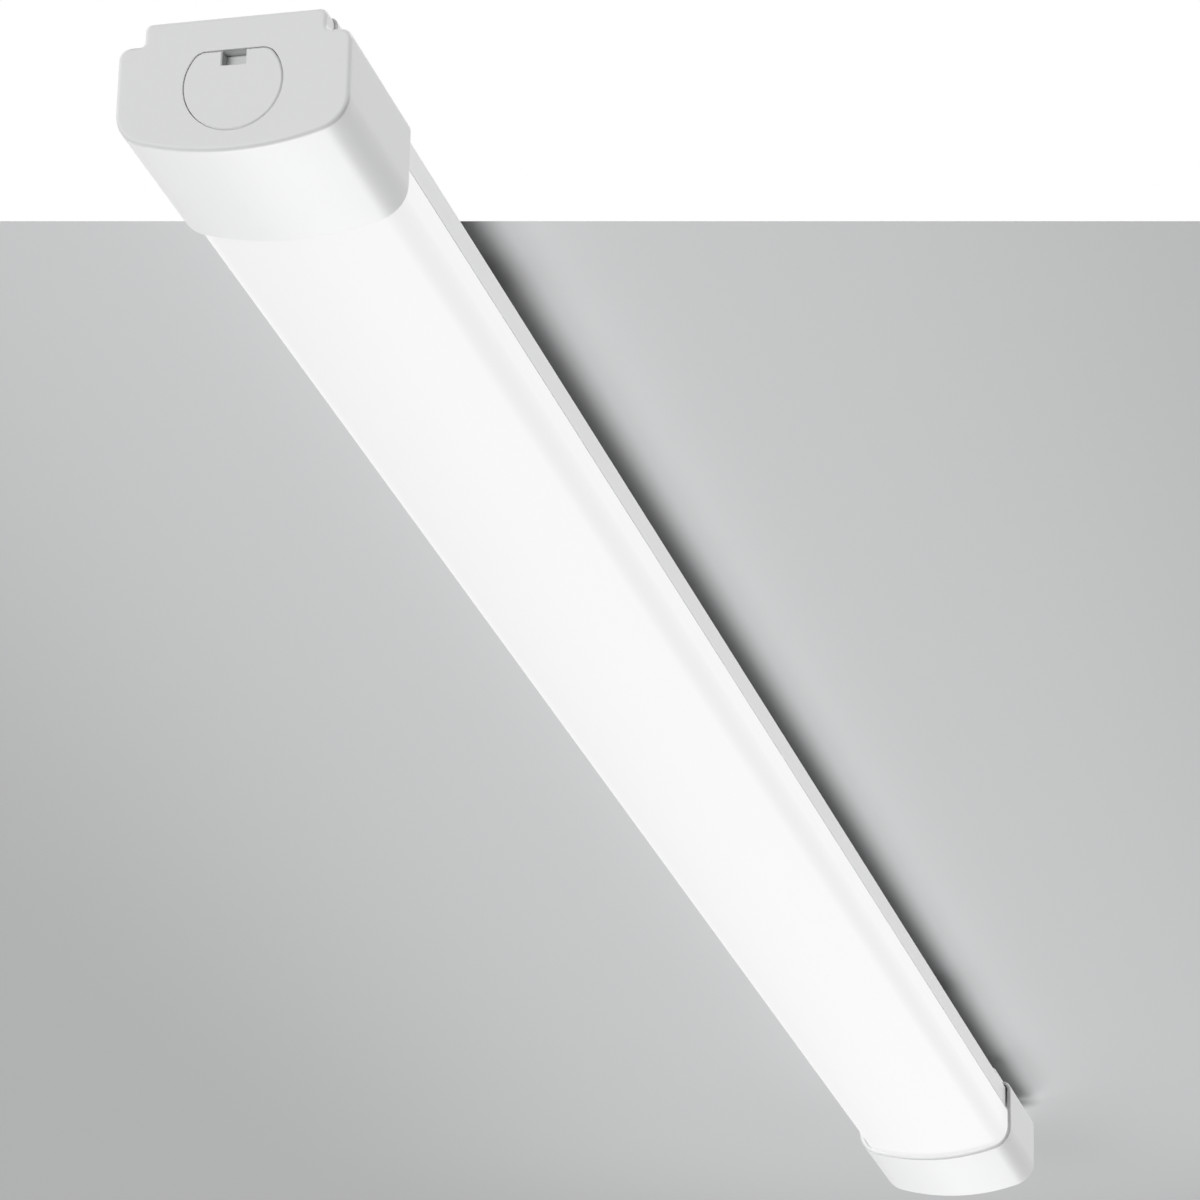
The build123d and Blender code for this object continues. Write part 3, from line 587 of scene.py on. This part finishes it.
def place(name, mesh, slot, *stands_for):
    """Make a piece that stands for CAD nodes, rides on their body and wears a finish."""
    piece = bpy.data.objects.new(name, mesh)
    scene.collection.objects.link(piece)
    if not mesh.materials:
        mesh.materials.append(finishes[slot])
    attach(piece, frame["nodes"][stands_for[0]]["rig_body"])
    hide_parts(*stands_for)
    print(name, "faces:", len(mesh.polygons))
    return piece


# %% [markdown]
# ## End caps
# A cap is one injection moulding: a box with an open end, a rounded end face with the socket's mouth
# in it and a step round its raised back. Rings of the outline at different depths give its skin, and
# each ring is joined to the next, round the lip and back along the inside, like a sock turned in.

# %% Rings of a cap
CAP_LENGTH, CAP_WALL, END_WALL = 66.5, 2.2, 3.0
LEAD_IN, LEAD_IN_LENGTH = 0.7, 6.0
FACE_RADIUS, LIP_RADIUS = 1.5, 1.2
TAB_LENGTH, TAB_SETBACK = 7.5, 1.1
COVER_RADIUS, COVER_CUT, COVER_CORNER, COVER_GAP = 15.6, 4.55, 4.5, 0.25
SOCKET_Z = -23.7
MOUTH_EDGE = 0.12
ROUND_STEPS, MOUTH_CORNER_STEPS, MOUTH_STEPS = 6, 10, 40


def mouth_half(grow):
    """Right half of the socket's mouth, a circle with a flat towards the ceiling."""
    radius, corner = COVER_RADIUS + grow, COVER_CORNER + grow
    flat = SOCKET_Z + radius - COVER_CUT
    rise = flat - corner - SOCKET_Z
    y = math.sqrt((radius - corner) ** 2 - rise**2)
    meet = math.degrees(math.atan2(rise, y))
    bend = arc((y, flat - corner), corner, 90, meet, MOUTH_CORNER_STEPS)
    return [(0.0, flat)] + bend + arc((0, SOCKET_Z), radius, meet, -90, MOUTH_STEPS)[1:]


def cap_rings():
    """Outlines of a cap as (depth, points), from the end face over the lip to the end wall's inside."""
    rings = []
    turns = [math.pi / 2 * k / ROUND_STEPS for k in range(ROUND_STEPS + 1)]
    for turn in turns:
        inset = FACE_RADIUS * (1 - math.sin(turn))
        outline = back_half(inset, TAB_SETBACK, ROOT_RADIUS + inset) + front_half(inset)
        rings.append((FACE_RADIUS * (1 - math.cos(turn)), outline))
    rings.append((TAB_LENGTH, back_half(0, TAB_SETBACK) + front_half(0)))
    rings.append((TAB_LENGTH, back_half(0) + front_half(0)))
    for turn in turns:
        inset = LIP_RADIUS * (1 - math.cos(turn))
        outline = back_half(inset, 0, ROOT_RADIUS + inset) + front_half(inset)
        rings.append((CAP_LENGTH - LIP_RADIUS * (1 - math.sin(turn)), outline))
    mouth_wall, lead_depth = CAP_WALL - LEAD_IN, CAP_LENGTH - LEAD_IN_LENGTH
    mouth_rings = [(CAP_LENGTH, mouth_wall), (lead_depth, mouth_wall)]
    for depth, wall in mouth_rings + [(lead_depth, CAP_WALL), (END_WALL, CAP_WALL)]:
        rings.append((depth, back_half(wall) + front_half(wall)))
    return [(depth, mirrored(half)) for depth, half in rings]


def add_ring(bm, points, x):
    """Put a ring of (y, z) points in millimetres at one place along the fixture."""
    return [bm.verts.new((x * MM, y * MM, z * MM)) for y, z in points]


def join_rings(bm, first, second):
    """Quads between two rings with the same number of points."""
    for k in range(len(first)):
        n = (k + 1) % len(first)
        bm.faces.new((first[k], first[n], second[n], second[k]))


def fill_between(bm, outer, inner):
    """Flat face between an outline and the mouth inside it."""
    edges = []
    for ring in (outer, inner):
        for k in range(len(ring)):
            pair = (ring[k], ring[(k + 1) % len(ring)])
            edges.append(bm.edges.get(pair) or bm.edges.new(pair))
    bmesh.ops.triangle_fill(bm, use_beauty=True, use_dissolve=False, edges=edges)


HALF_LENGTH = cad_high.x / MM
for end, side in (("supply", -1), ("link", 1)):
    bm = bmesh.new()
    skin = [add_ring(bm, points, side * (HALF_LENGTH - depth)) for depth, points in cap_rings()]
    for first, second in zip(skin, skin[1:]):
        join_rings(bm, first, second)
    throat = [(0, COVER_GAP + MOUTH_EDGE), (MOUTH_EDGE, COVER_GAP), (END_WALL, COVER_GAP)]
    mouth = [add_ring(bm, mirrored(mouth_half(g)), side * (HALF_LENGTH - d)) for d, g in throat]
    for first, second in zip(mouth, mouth[1:]):
        join_rings(bm, first, second)
    fill_between(bm, skin[0], mouth[0])
    fill_between(bm, skin[-1], mouth[-1])
    place(f"{end}_cap_moulding", smooth_mesh(bm, f"{end}_cap_moulding"), "cap_plastic", f"{end}_end_cap")

# %% [markdown]
# ## Base and diffuser
# Both are extrusions, one cross-section pushed through a die for the whole length. That is a rule, so
# Geometry Nodes make them: the section is drawn as one flat face, and a small tree extrudes it,
# closes the other end and gives it its finish.


# %% Extrusion tree
def build_extrusion():
    """Tree that pushes a flat section along X and closes both ends."""
    tree = bpy.data.node_groups.new("extruded_section", "GeometryNodeTree")
    tree.interface.new_socket(name="Section", in_out="INPUT", socket_type="NodeSocketGeometry")
    tree.interface.new_socket(name="Length", in_out="INPUT", socket_type="NodeSocketFloat")
    tree.interface.new_socket(name="Finish", in_out="INPUT", socket_type="NodeSocketMaterial")
    tree.interface.new_socket(name="Extrusion", in_out="OUTPUT", socket_type="NodeSocketGeometry")
    given, result = new_node(tree, "NodeGroupInput"), new_node(tree, "NodeGroupOutput")
    along = new_node(tree, "ShaderNodeCombineXYZ")
    push = new_node(tree, "GeometryNodeExtrudeMesh", mode="FACES")
    push.inputs["Individual"].default_value = False
    push.inputs["Offset Scale"].default_value = 1.0
    flip = new_node(tree, "GeometryNodeFlipFaces")
    join = new_node(tree, "GeometryNodeJoinGeometry")
    weld = new_node(tree, "GeometryNodeMergeByDistance")
    weld.inputs["Distance"].default_value = 1e-6
    real = new_node(tree, "GeometryNodeRealizeInstances")
    wear = new_node(tree, "GeometryNodeSetMaterial")
    tree.links.new(given.outputs["Length"], along.inputs["X"])
    tree.links.new(along.outputs[0], push.inputs["Offset"])
    tree.links.new(given.outputs["Section"], push.inputs["Mesh"])
    tree.links.new(given.outputs["Section"], flip.inputs["Mesh"])
    tree.links.new(push.outputs["Mesh"], join.inputs[0])
    tree.links.new(flip.outputs["Mesh"], join.inputs[0])
    tree.links.new(join.outputs[0], weld.inputs["Geometry"])
    tree.links.new(weld.outputs[0], real.inputs["Geometry"])
    tree.links.new(real.outputs[0], wear.inputs["Geometry"])
    tree.links.new(given.outputs["Finish"], wear.inputs["Material"])
    tree.links.new(wear.outputs[0], result.inputs["Extrusion"])
    return tree


def grown(name, start_mesh, tree, **inputs):
    """Run a Geometry Nodes tree on a mesh and give back the plain result."""
    holder = bpy.data.objects.new(name, start_mesh)
    scene.collection.objects.link(holder)
    modifier = holder.modifiers.new(name, "NODES")
    modifier.node_group = tree
    for socket in tree.interface.items_tree:
        if socket.in_out == "INPUT" and socket.name in inputs:
            modifier[socket.identifier] = inputs[socket.name]
    made = evaluated_mesh(holder)
    bpy.data.objects.remove(holder)
    return made


extruded_section = build_extrusion()
print("tree:", extruded_section.name)

# %% Sections of base and diffuser
SEAM, BASE_WALL = -21.4, 1.8
BASE_HALF, BASE_SHOULDER, BASE_BACK = 34.5, -11.0, -4.2
NECK_HALF, LIP_HALF, BAY_HALF = 26.1, 27.5, 24.3
BASE_CORNER, EDGE_RADIUS = 1.2, 0.3
SLOT_TOP, SLOT_BOTTOM, LEDGE, LEDGE_DEPTH = -18.85, -20.65, 1.2, 2.0
DIFFUSER_INSET, DIFFUSER_WALL = 2.5, 1.6
FLANGE_HALF, FLANGE_WALL, FLANGE_TOP = 32.5, 1.4, -14.8
BEAD_Z, BEAD_RADIUS, BEAD_GAP = -18.1, 0.6, 0.2
back_under = BASE_BACK - BASE_WALL
inner_half = BASE_HALF - BASE_WALL
rib_bottom, ledge_top = SLOT_BOTTOM - LEDGE, SLOT_TOP + LEDGE
ledge_half = BAY_HALF - LEDGE_DEPTH

base_half = (
    [(0, BASE_BACK)]
    + arc((LIP_HALF - EDGE_RADIUS, BASE_BACK - EDGE_RADIUS), EDGE_RADIUS, 90, 0, 4)
    + arc((LIP_HALF - EDGE_RADIUS, back_under + EDGE_RADIUS), EDGE_RADIUS, 0, -90, 4)
    + [(NECK_HALF, back_under), (NECK_HALF, BASE_SHOULDER)]
    + arc((BASE_HALF - BASE_CORNER, BASE_SHOULDER - BASE_CORNER), BASE_CORNER, 90, 0)
    + arc((BASE_HALF - EDGE_RADIUS, SEAM + EDGE_RADIUS), EDGE_RADIUS, 0, -90, 4)
    + [(inner_half, SEAM)]
    + arc((inner_half, BEAD_Z), BEAD_RADIUS + BEAD_GAP, -90, 90, 8)
    + [(inner_half, BASE_SHOULDER - BASE_WALL), (NECK_HALF, BASE_SHOULDER - BASE_WALL)]
    + [(NECK_HALF, rib_bottom), (ledge_half, rib_bottom)]
    + [(ledge_half, SLOT_BOTTOM), (BAY_HALF, SLOT_BOTTOM), (BAY_HALF, SLOT_TOP), (ledge_half, SLOT_TOP)]
    + [(ledge_half, ledge_top), (BAY_HALF, ledge_top), (BAY_HALF, back_under), (0, back_under)]
)
diffuser_outer = CAP_HALF - DIFFUSER_INSET
diffuser_inner = DIFFUSER_INSET + DIFFUSER_WALL
flange_inner = FLANGE_HALF - FLANGE_WALL
diffuser_half = (
    list(reversed(front_half(DIFFUSER_INSET)))
    + arc((diffuser_outer - EDGE_RADIUS, SEAM - EDGE_RADIUS), EDGE_RADIUS, 0, 90, 4)
    + [(FLANGE_HALF, SEAM)]
    + arc((FLANGE_HALF, BEAD_Z), BEAD_RADIUS, -90, 90, 8)
    + [(FLANGE_HALF, FLANGE_TOP), (flange_inner, FLANGE_TOP), (flange_inner, SEAM - DIFFUSER_WALL)]
    + [(CAP_HALF - diffuser_inner, SEAM - DIFFUSER_WALL)]
    + front_half(diffuser_inner)
)
print("section points, base and diffuser:", 2 * len(base_half), 2 * len(diffuser_half))

# %% Extrude them
extrusions = {"base_profile": (base_half, "base_plastic"), "diffuser": (diffuser_half, "opal_plastic")}
for node, (half, slot) in extrusions.items():
    low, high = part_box(node)
    length, loop = high.x - low.x, mirrored(half)
    section = bpy.data.meshes.new(f"{node}_section")
    section.from_pydata([(low.x, y * MM, z * MM) for y, z in loop], [], [range(len(loop))])
    solid = grown(f"{node}_solid", section, extruded_section, Length=length, Finish=finishes[slot])
    bm = bmesh.new()
    bm.from_mesh(solid)
    skin = smooth_mesh(bm, f"{node}_extrusion")
    place(f"{node}_extrusion", skin, slot, node)

# %% [markdown]
# ## Mounting clips
# A clip is one strip of spring steel. A press stamps its hole and its two stiffening ribs and folds
# its ends into hooks. It is drawn in the same order here: a grid of quads follows the folded path,
# the ribs sink into it, and a ring of quads leaves the hole open. Solidify gives the sheet its
# thickness last, so that the ribs show on both faces, as they do in pressed steel.

# %% Folded path of a clip
CLIP_THICKNESS, CLIP_BEND, SHEARED_EDGE = 0.8, 1.1, 0.12
CLIP_SIDE = [(16.5, 0.0), (21.0, -3.25), (28.55, -3.25), (28.55, -6.6), (26.85, -8.5), (28.45, -10.0)]
HOLE_RADIUS, HOLE_STEP, HOLE_CELLS = 2.5, 1.05, 4
PLATE_STEP, PLATE_ROWS, FLAT_END = 1.2, 8, 15.0


def folded(points, radius, steps=6):
    """Points along a strip that is bent at each inner corner."""
    path = [Vector(points[0])]
    for before, corner, after in zip(points, points[1:], points[2:]):
        corner = Vector(corner)
        back = (Vector(before) - corner).normalized()
        ahead = (Vector(after) - corner).normalized()
        reach = radius / math.tan(back.angle(ahead) / 2)
        first, last = corner + back * reach, corner + ahead * reach
        for k in range(steps + 1):
            t = k / steps
            path.append((1 - t) ** 2 * first + 2 * t * (1 - t) * corner + t * t * last)
    return path + [Vector(points[-1])]


near_hole = [k * HOLE_STEP for k in range(HOLE_CELLS + 1)]
plate_rows = near_hole + [near_hole[-1] + PLATE_STEP * k for k in range(1, PLATE_ROWS + 1)]
right_rows = [Vector((y, 0.0)) for y in plate_rows] + folded([(FLAT_END, 0.0)] + CLIP_SIDE, CLIP_BEND)
rows = [Vector((-p.x, p.y)) for p in reversed(right_rows[1:])] + right_rows
print("rows of quads along a clip:", len(rows) - 1)

# %% Pressed sheet
CLIP_HALF_WIDTH, EDGE_STRIP = 14.0, 1.6
RIB_PLACE, RIB_STRAIGHT, RIB_HALF, RIB_SLOPE, RIB_DEPTH = 8.5, 12.05, 1.95, 1.6, 0.5
RIB_STEP, RIB_CELLS = 0.44, 5
LEVEL = 0.01  # a row within this height belongs to the flat plate
rib_columns = [RIB_PLACE + RIB_STEP * k for k in range(-RIB_CELLS, RIB_CELLS + 1)]
right_columns = near_hole + rib_columns + [CLIP_HALF_WIDTH - EDGE_STRIP, CLIP_HALF_WIDTH]
columns = [-x for x in reversed(right_columns[1:])] + right_columns


def rib_sink(x, y):
    """How far the plate sinks into a rib at a point, in millimetres."""
    past_end = max(abs(y) - RIB_STRAIGHT, 0.0)
    t = (RIB_HALF - math.hypot(abs(x) - RIB_PLACE, past_end)) / RIB_SLOPE
    t = min(max(t, 0.0), 1.0)
    return RIB_DEPTH * t * t * (3 - 2 * t)


def pressed_sheet(middle_x):
    """Top face of a clip with its ribs and its hole, as one layer of quads."""
    bm = bmesh.new()
    mid_row, mid_column = len(rows) // 2, len(columns) // 2
    grid = {}
    for i, point in enumerate(rows):
        for j, x in enumerate(columns):
            away = max(abs(i - mid_row), abs(j - mid_column))
            if away >= HOLE_CELLS:
                z = point.y - (rib_sink(x, point.x) if abs(point.y) < LEVEL else 0.0)
                grid[i, j] = bm.verts.new(((middle_x + x) * MM, point.x * MM, z * MM))
    for i in range(len(rows) - 1):
        for j in range(len(columns) - 1):
            corners = ((i, j), (i, j + 1), (i + 1, j + 1), (i + 1, j))
            inside = all(max(abs(r - mid_row), abs(c - mid_column)) <= HOLE_CELLS for r, c in corners)
            if not inside:
                bm.faces.new([grid[corner] for corner in corners])
    n = HOLE_CELLS
    square = [(-n, c) for c in range(-n, n)] + [(r, n) for r in range(-n, n)]
    square += [(-r, -c) for r, c in square]
    border = [grid[mid_row + r, mid_column + c] for r, c in square]
    angles = [math.atan2(r, c) for r, c in square]
    hole = [(HOLE_RADIUS * math.sin(a), HOLE_RADIUS * math.cos(a)) for a in angles]
    rim = [bm.verts.new(((middle_x + x) * MM, y * MM, 0.0)) for y, x in hole]
    join_rings(bm, border, rim)
    return bm


# %% Thickness and sheared edges
for node in ("left_mounting_clip", "right_mounting_clip"):
    low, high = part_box(node)
    bm = pressed_sheet((low.x + high.x) / 2 / MM)
    sheet = bpy.data.meshes.new(f"{node}_sheet")
    bm.to_mesh(sheet)
    bm.free()
    holder = bpy.data.objects.new(f"{node}_sheet", sheet)
    scene.collection.objects.link(holder)
    wall = holder.modifiers.new("wall", "SOLIDIFY")
    wall.thickness, wall.offset, wall.use_even_offset = CLIP_THICKNESS * MM, -1.0, True
    shear = holder.modifiers.new("shear", "BEVEL")
    shear.width, shear.segments = SHEARED_EDGE * MM, 2
    shear.limit_method, shear.angle_limit = "ANGLE", math.radians(60)
    pressed = evaluated_mesh(holder)
    bpy.data.objects.remove(holder)
    bm = bmesh.new()
    bm.from_mesh(pressed)
    place(f"{node}_pressing", smooth_mesh(bm, f"{node}_pressing", crease=45), "clip_steel", node)

# %% [markdown]
# ## Light chips and screws
# The boards carry two rows of light chips, and small cross-head screws hold boards and driver to the
# tray. Both are one shape set out on a regular grid. Copying objects would work, but a Geometry Nodes
# tree says the rule itself: a grid of points, an instance on each of them, then real faces.


# %% Tree that sets a shape out in rows
def build_rows():
    """Tree that puts its start shape on a grid of points."""
    tree = bpy.data.node_groups.new("set_in_rows", "GeometryNodeTree")
    inputs = {
        "Shape": "NodeSocketGeometry",
        "Columns": "NodeSocketInt",
        "Rows": "NodeSocketInt",
        "Pitch": "NodeSocketFloat",
        "Row spacing": "NodeSocketFloat",
        "Middle": "NodeSocketVector",
        "Finish": "NodeSocketMaterial",
    }
    for name, kind in inputs.items():
        tree.interface.new_socket(name=name, in_out="INPUT", socket_type=kind)
    tree.interface.new_socket(name="Set", in_out="OUTPUT", socket_type="NodeSocketGeometry")
    given, result = new_node(tree, "NodeGroupInput"), new_node(tree, "NodeGroupOutput")
    grid = new_node(tree, "GeometryNodeMeshGrid")
    for count, step, size, number in (
        ("Columns", "Pitch", "Size X", "Vertices X"),
        ("Rows", "Row spacing", "Size Y", "Vertices Y"),
    ):
        gaps = new_node(tree, "ShaderNodeMath", operation="SUBTRACT")
        gaps.inputs[1].default_value = 1.0
        span = new_node(tree, "ShaderNodeMath", operation="MULTIPLY")
        tree.links.new(given.outputs[count], gaps.inputs[0])
        tree.links.new(gaps.outputs[0], span.inputs[0])
        tree.links.new(given.outputs[step], span.inputs[1])
        tree.links.new(span.outputs[0], grid.inputs[size])
        tree.links.new(given.outputs[count], grid.inputs[number])
    move = new_node(tree, "GeometryNodeTransform")
    put = new_node(tree, "GeometryNodeInstanceOnPoints")
    real = new_node(tree, "GeometryNodeRealizeInstances")
    wear = new_node(tree, "GeometryNodeSetMaterial")
    tree.links.new(grid.outputs["Mesh"], move.inputs["Geometry"])
    tree.links.new(given.outputs["Middle"], move.inputs["Translation"])
    tree.links.new(move.outputs[0], put.inputs["Points"])
    tree.links.new(given.outputs["Shape"], put.inputs["Instance"])
    tree.links.new(put.outputs[0], real.inputs["Geometry"])
    tree.links.new(real.outputs[0], wear.inputs["Geometry"])
    tree.links.new(given.outputs["Finish"], wear.inputs["Material"])
    tree.links.new(wear.outputs[0], result.inputs["Set"])
    return tree


set_in_rows = build_rows()
print("tree:", set_in_rows.name)

# %% Light chips
CHIP_X, CHIP_Y, CHIP_Z, CHIP_RIM, CHIP_DISH = 3.5, 2.8, 0.7, 0.45, 0.12
CHIP_COLUMNS, CHIP_ROWS = 24, 2


def chip_mesh():
    """One chip with its window downwards, its back on z = 0 and its window marked by an attribute."""
    bm = bmesh.new()
    mark = bm.faces.layers.float.new("window")
    levels = ((0.0, 0.0), (0.0, CHIP_Z), (CHIP_RIM, CHIP_Z), (CHIP_RIM, CHIP_Z - CHIP_DISH))
    loops = []
    for inset, depth in levels:
        x, y = CHIP_X / 2 - inset, CHIP_Y / 2 - inset
        ring = ((-x, -y), (x, -y), (x, y), (-x, y))
        loops.append([bm.verts.new((a * MM, b * MM, -depth * MM)) for a, b in ring])
    bm.faces.new(loops[0])
    for first, second in zip(loops, loops[1:]):
        join_rings(bm, first, second)
    bm.faces.new(loops[-1])[mark] = 1.0
    bmesh.ops.recalc_face_normals(bm, faces=bm.faces)
    mesh = bpy.data.meshes.new("light_chip")
    bm.to_mesh(mesh)
    bm.free()
    return mesh


for half in ("supply", "link"):
    node = f"led_chips_{half}_half"
    low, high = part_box(node)
    chips = grown(
        f"{node}_grid", chip_mesh(), set_in_rows,
        **{
            "Columns": CHIP_COLUMNS,
            "Rows": CHIP_ROWS,
            "Pitch": (high.x - low.x - CHIP_X * MM) / (CHIP_COLUMNS - 1),
            "Row spacing": high.y - low.y - CHIP_Y * MM,
            "Middle": ((low.x + high.x) / 2, (low.y + high.y) / 2, high.z),
            "Finish": finishes["chip_phosphor"],
        },
    )
    place(f"{node}_set", chips, "chip_phosphor", node)

# %% Cross-head screws
HEAD_RADIUS, HEAD_HEIGHT, HEAD_ROUND, SCREW_SIDES = 2.8, 1.8, 0.7, 20
SHANK_RADIUS = 1.45
CROSS_ARM, CROSS_HALF, CROSS_DEPTH, CROSS_TAPER = 1.7, 0.35, 0.9, 0.45


def screw_mesh(shank_length, way_up):
    """Pan-head screw whose head sits on z = 0. The head points up for 1 and down for -1."""
    bm = bmesh.new()
    turn = [2 * math.pi * k / SCREW_SIDES for k in range(SCREW_SIDES)]
    side = [(SHANK_RADIUS, -shank_length), (SHANK_RADIUS, 0.0), (HEAD_RADIUS, 0.0)]
    bend = arc((HEAD_RADIUS - HEAD_ROUND, HEAD_HEIGHT - HEAD_ROUND), HEAD_ROUND, 0, 90, 4)
    loops = []
    for radius, z in side + bend:
        loops.append([bm.verts.new((radius * math.cos(a), radius * math.sin(a), z)) for a in turn])
    for first, second in zip(loops, loops[1:]):
        join_rings(bm, first, second)
    bm.faces.new(loops[0])
    a, h = CROSS_ARM, CROSS_HALF
    quarter = [(h, a), (-h, a), (-h, h)]
    cross = []
    for _ in range(4):
        cross += quarter
        quarter = [(-y, x) for x, y in quarter]
    mouth = [bm.verts.new((x, y, HEAD_HEIGHT)) for x, y in cross]
    narrow = [(CROSS_TAPER * x, CROSS_TAPER * y) for x, y in cross]
    root = [bm.verts.new((x, y, HEAD_HEIGHT - CROSS_DEPTH)) for x, y in narrow]
    fill_between(bm, loops[-1], mouth)
    join_rings(bm, mouth, root)
    bm.faces.new(root)
    bmesh.ops.scale(bm, vec=(MM, MM, way_up * MM), verts=bm.verts)
    return smooth_mesh(bm, "cross_head_screw", crease=40)


screw_rows = {  # node: what its rows are centred on, screws in a row, seat, shank length, way up
    "board_screws": (("led_board_supply_half", "led_board_link_half"), 3, -21.7, 3.7, -1),
    "driver_screws": (("driver_case",), 2, -18.0, 2.5, 1),
}
for node, (carriers, count, seat, length, way_up) in screw_rows.items():
    middles = [sum(corner.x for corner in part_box(carrier)) / 2 for carrier in carriers]
    last_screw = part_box(node)[1].x - HEAD_RADIUS * MM
    pitch = 2 * (last_screw - middles[-1]) / (count - 1)
    bm = bmesh.new()
    for middle in middles:
        row = grown(
            f"{node}_row", screw_mesh(length, way_up), set_in_rows,
            Columns=count, Rows=1, Pitch=pitch, Middle=(middle, 0.0, seat * MM),
            Finish=finishes["screw_steel"],
        )
        bm.from_mesh(row)
    print(node, "pitch in mm:", round(pitch / MM, 2))
    place(f"{node}_set", smooth_mesh(bm, f"{node}_set", crease=40), "screw_steel", node)

# %% [markdown]
# ## Pieces that keep their CAD shape
# The remaining nodes already have the right shape, but an imported node is a bag of loose triangles and
# its round faces look faceted. For those that can be seen, a copy is merged and shaded smooth, and it
# stands for the node. The pieces sealed inside keep their node and get their finish only. A cover has a
# notch to pry it out by, and its faces are marked here for a painted shade, greyer than the cover's
# face.

# %% Faces of a notch, for its painted shade
NOTCH_HALF, NOTCH_HEIGHT, NOTCH_DEPTH, SLACK = 3.8, 4.8, 4.6, 0.05
NOTCH_BOTTOM = SOCKET_Z + COVER_RADIUS - COVER_CUT - NOTCH_HEIGHT


def mark_notch_shade(mesh):
    """Mark the faces inside a cover's notch, a little behind its end face, with an attribute for its
    painted shade.
    """
    marks = []
    for face in mesh.polygons:
        x, y, z = face.center / MM
        depth = HALF_LENGTH - abs(x)
        within = abs(y) < NOTCH_HALF + SLACK and z > NOTCH_BOTTOM - SLACK
        marks.append(float(within and SLACK < depth < NOTCH_DEPTH + SLACK))
    mesh.attributes.new("notch", "FLOAT", "FACE").data.foreach_set("value", marks)
    print(mesh.name, "faces in the notch:", int(sum(marks)))


# %% Smooth copies
looks = {
    "cover_plastic": ["supply_socket_cover", "link_socket_cover"],
    "seal_rubber": ["supply_cover_seal", "link_cover_seal", "supply_cap_gasket", "link_cap_gasket"],
    "socket_plastic": ["supply_socket_housing", "link_socket_housing"],
    "contact_brass": ["supply_socket_pins", "link_socket_contacts"],
}
for slot, members in looks.items():
    for node in members:
        bm = bmesh.new()
        bm.from_mesh(frame["nodes"][node].data)
        skin = smooth_mesh(bm, f"{node}_skin", crease=25)
        if slot == "cover_plastic":
            mark_notch_shade(skin)
        place(f"{node}_skin", skin, slot, node)

# %% Finishes of the sealed pieces
inside = {
    "tray_aluminium": ["gear_tray"],
    "board_white": ["led_board_supply_half", "led_board_link_half"],
    "bridge_white": ["board_link"],
    "case_plastic": ["driver_case"],
    "pcb_green": ["driver_board"],
    "terminal_green": ["driver_terminals"],
    "fuse_ceramic": ["driver_fuse"],
    "choke_copper": ["driver_choke"],
    "film_yellow": ["driver_film_capacitor"],
    "chip_black": ["driver_rectifier_and_controller"],
    "can_sleeve": ["driver_capacitors"],
    "core_ferrite": ["driver_transformer_core"],
    "winding_tape": ["driver_transformer_winding"],
    "wire_brown": ["through_wire_live", "driver_wire_live"],
    "wire_blue": ["through_wire_neutral", "driver_wire_neutral"],
    "wire_red": ["led_wire_plus"],
    "wire_black": ["led_wire_minus"],
}
for slot, members in inside.items():
    for node in members:
        mesh = frame["nodes"][node].data
        mesh.materials.clear()
        mesh.materials.append(finishes[slot])
print("sealed nodes with a finish:", sum(len(members) for members in inside.values()))

# %% [markdown]
# ## Size
# Dressing must not change the object's size, so the box of the dressed model is printed here, as the
# box of the CAD model was at the start.

# %% Box of the dressed model
low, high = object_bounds()
print("dressed size in mm:", [round(s / MM, 1) for s in high - low])
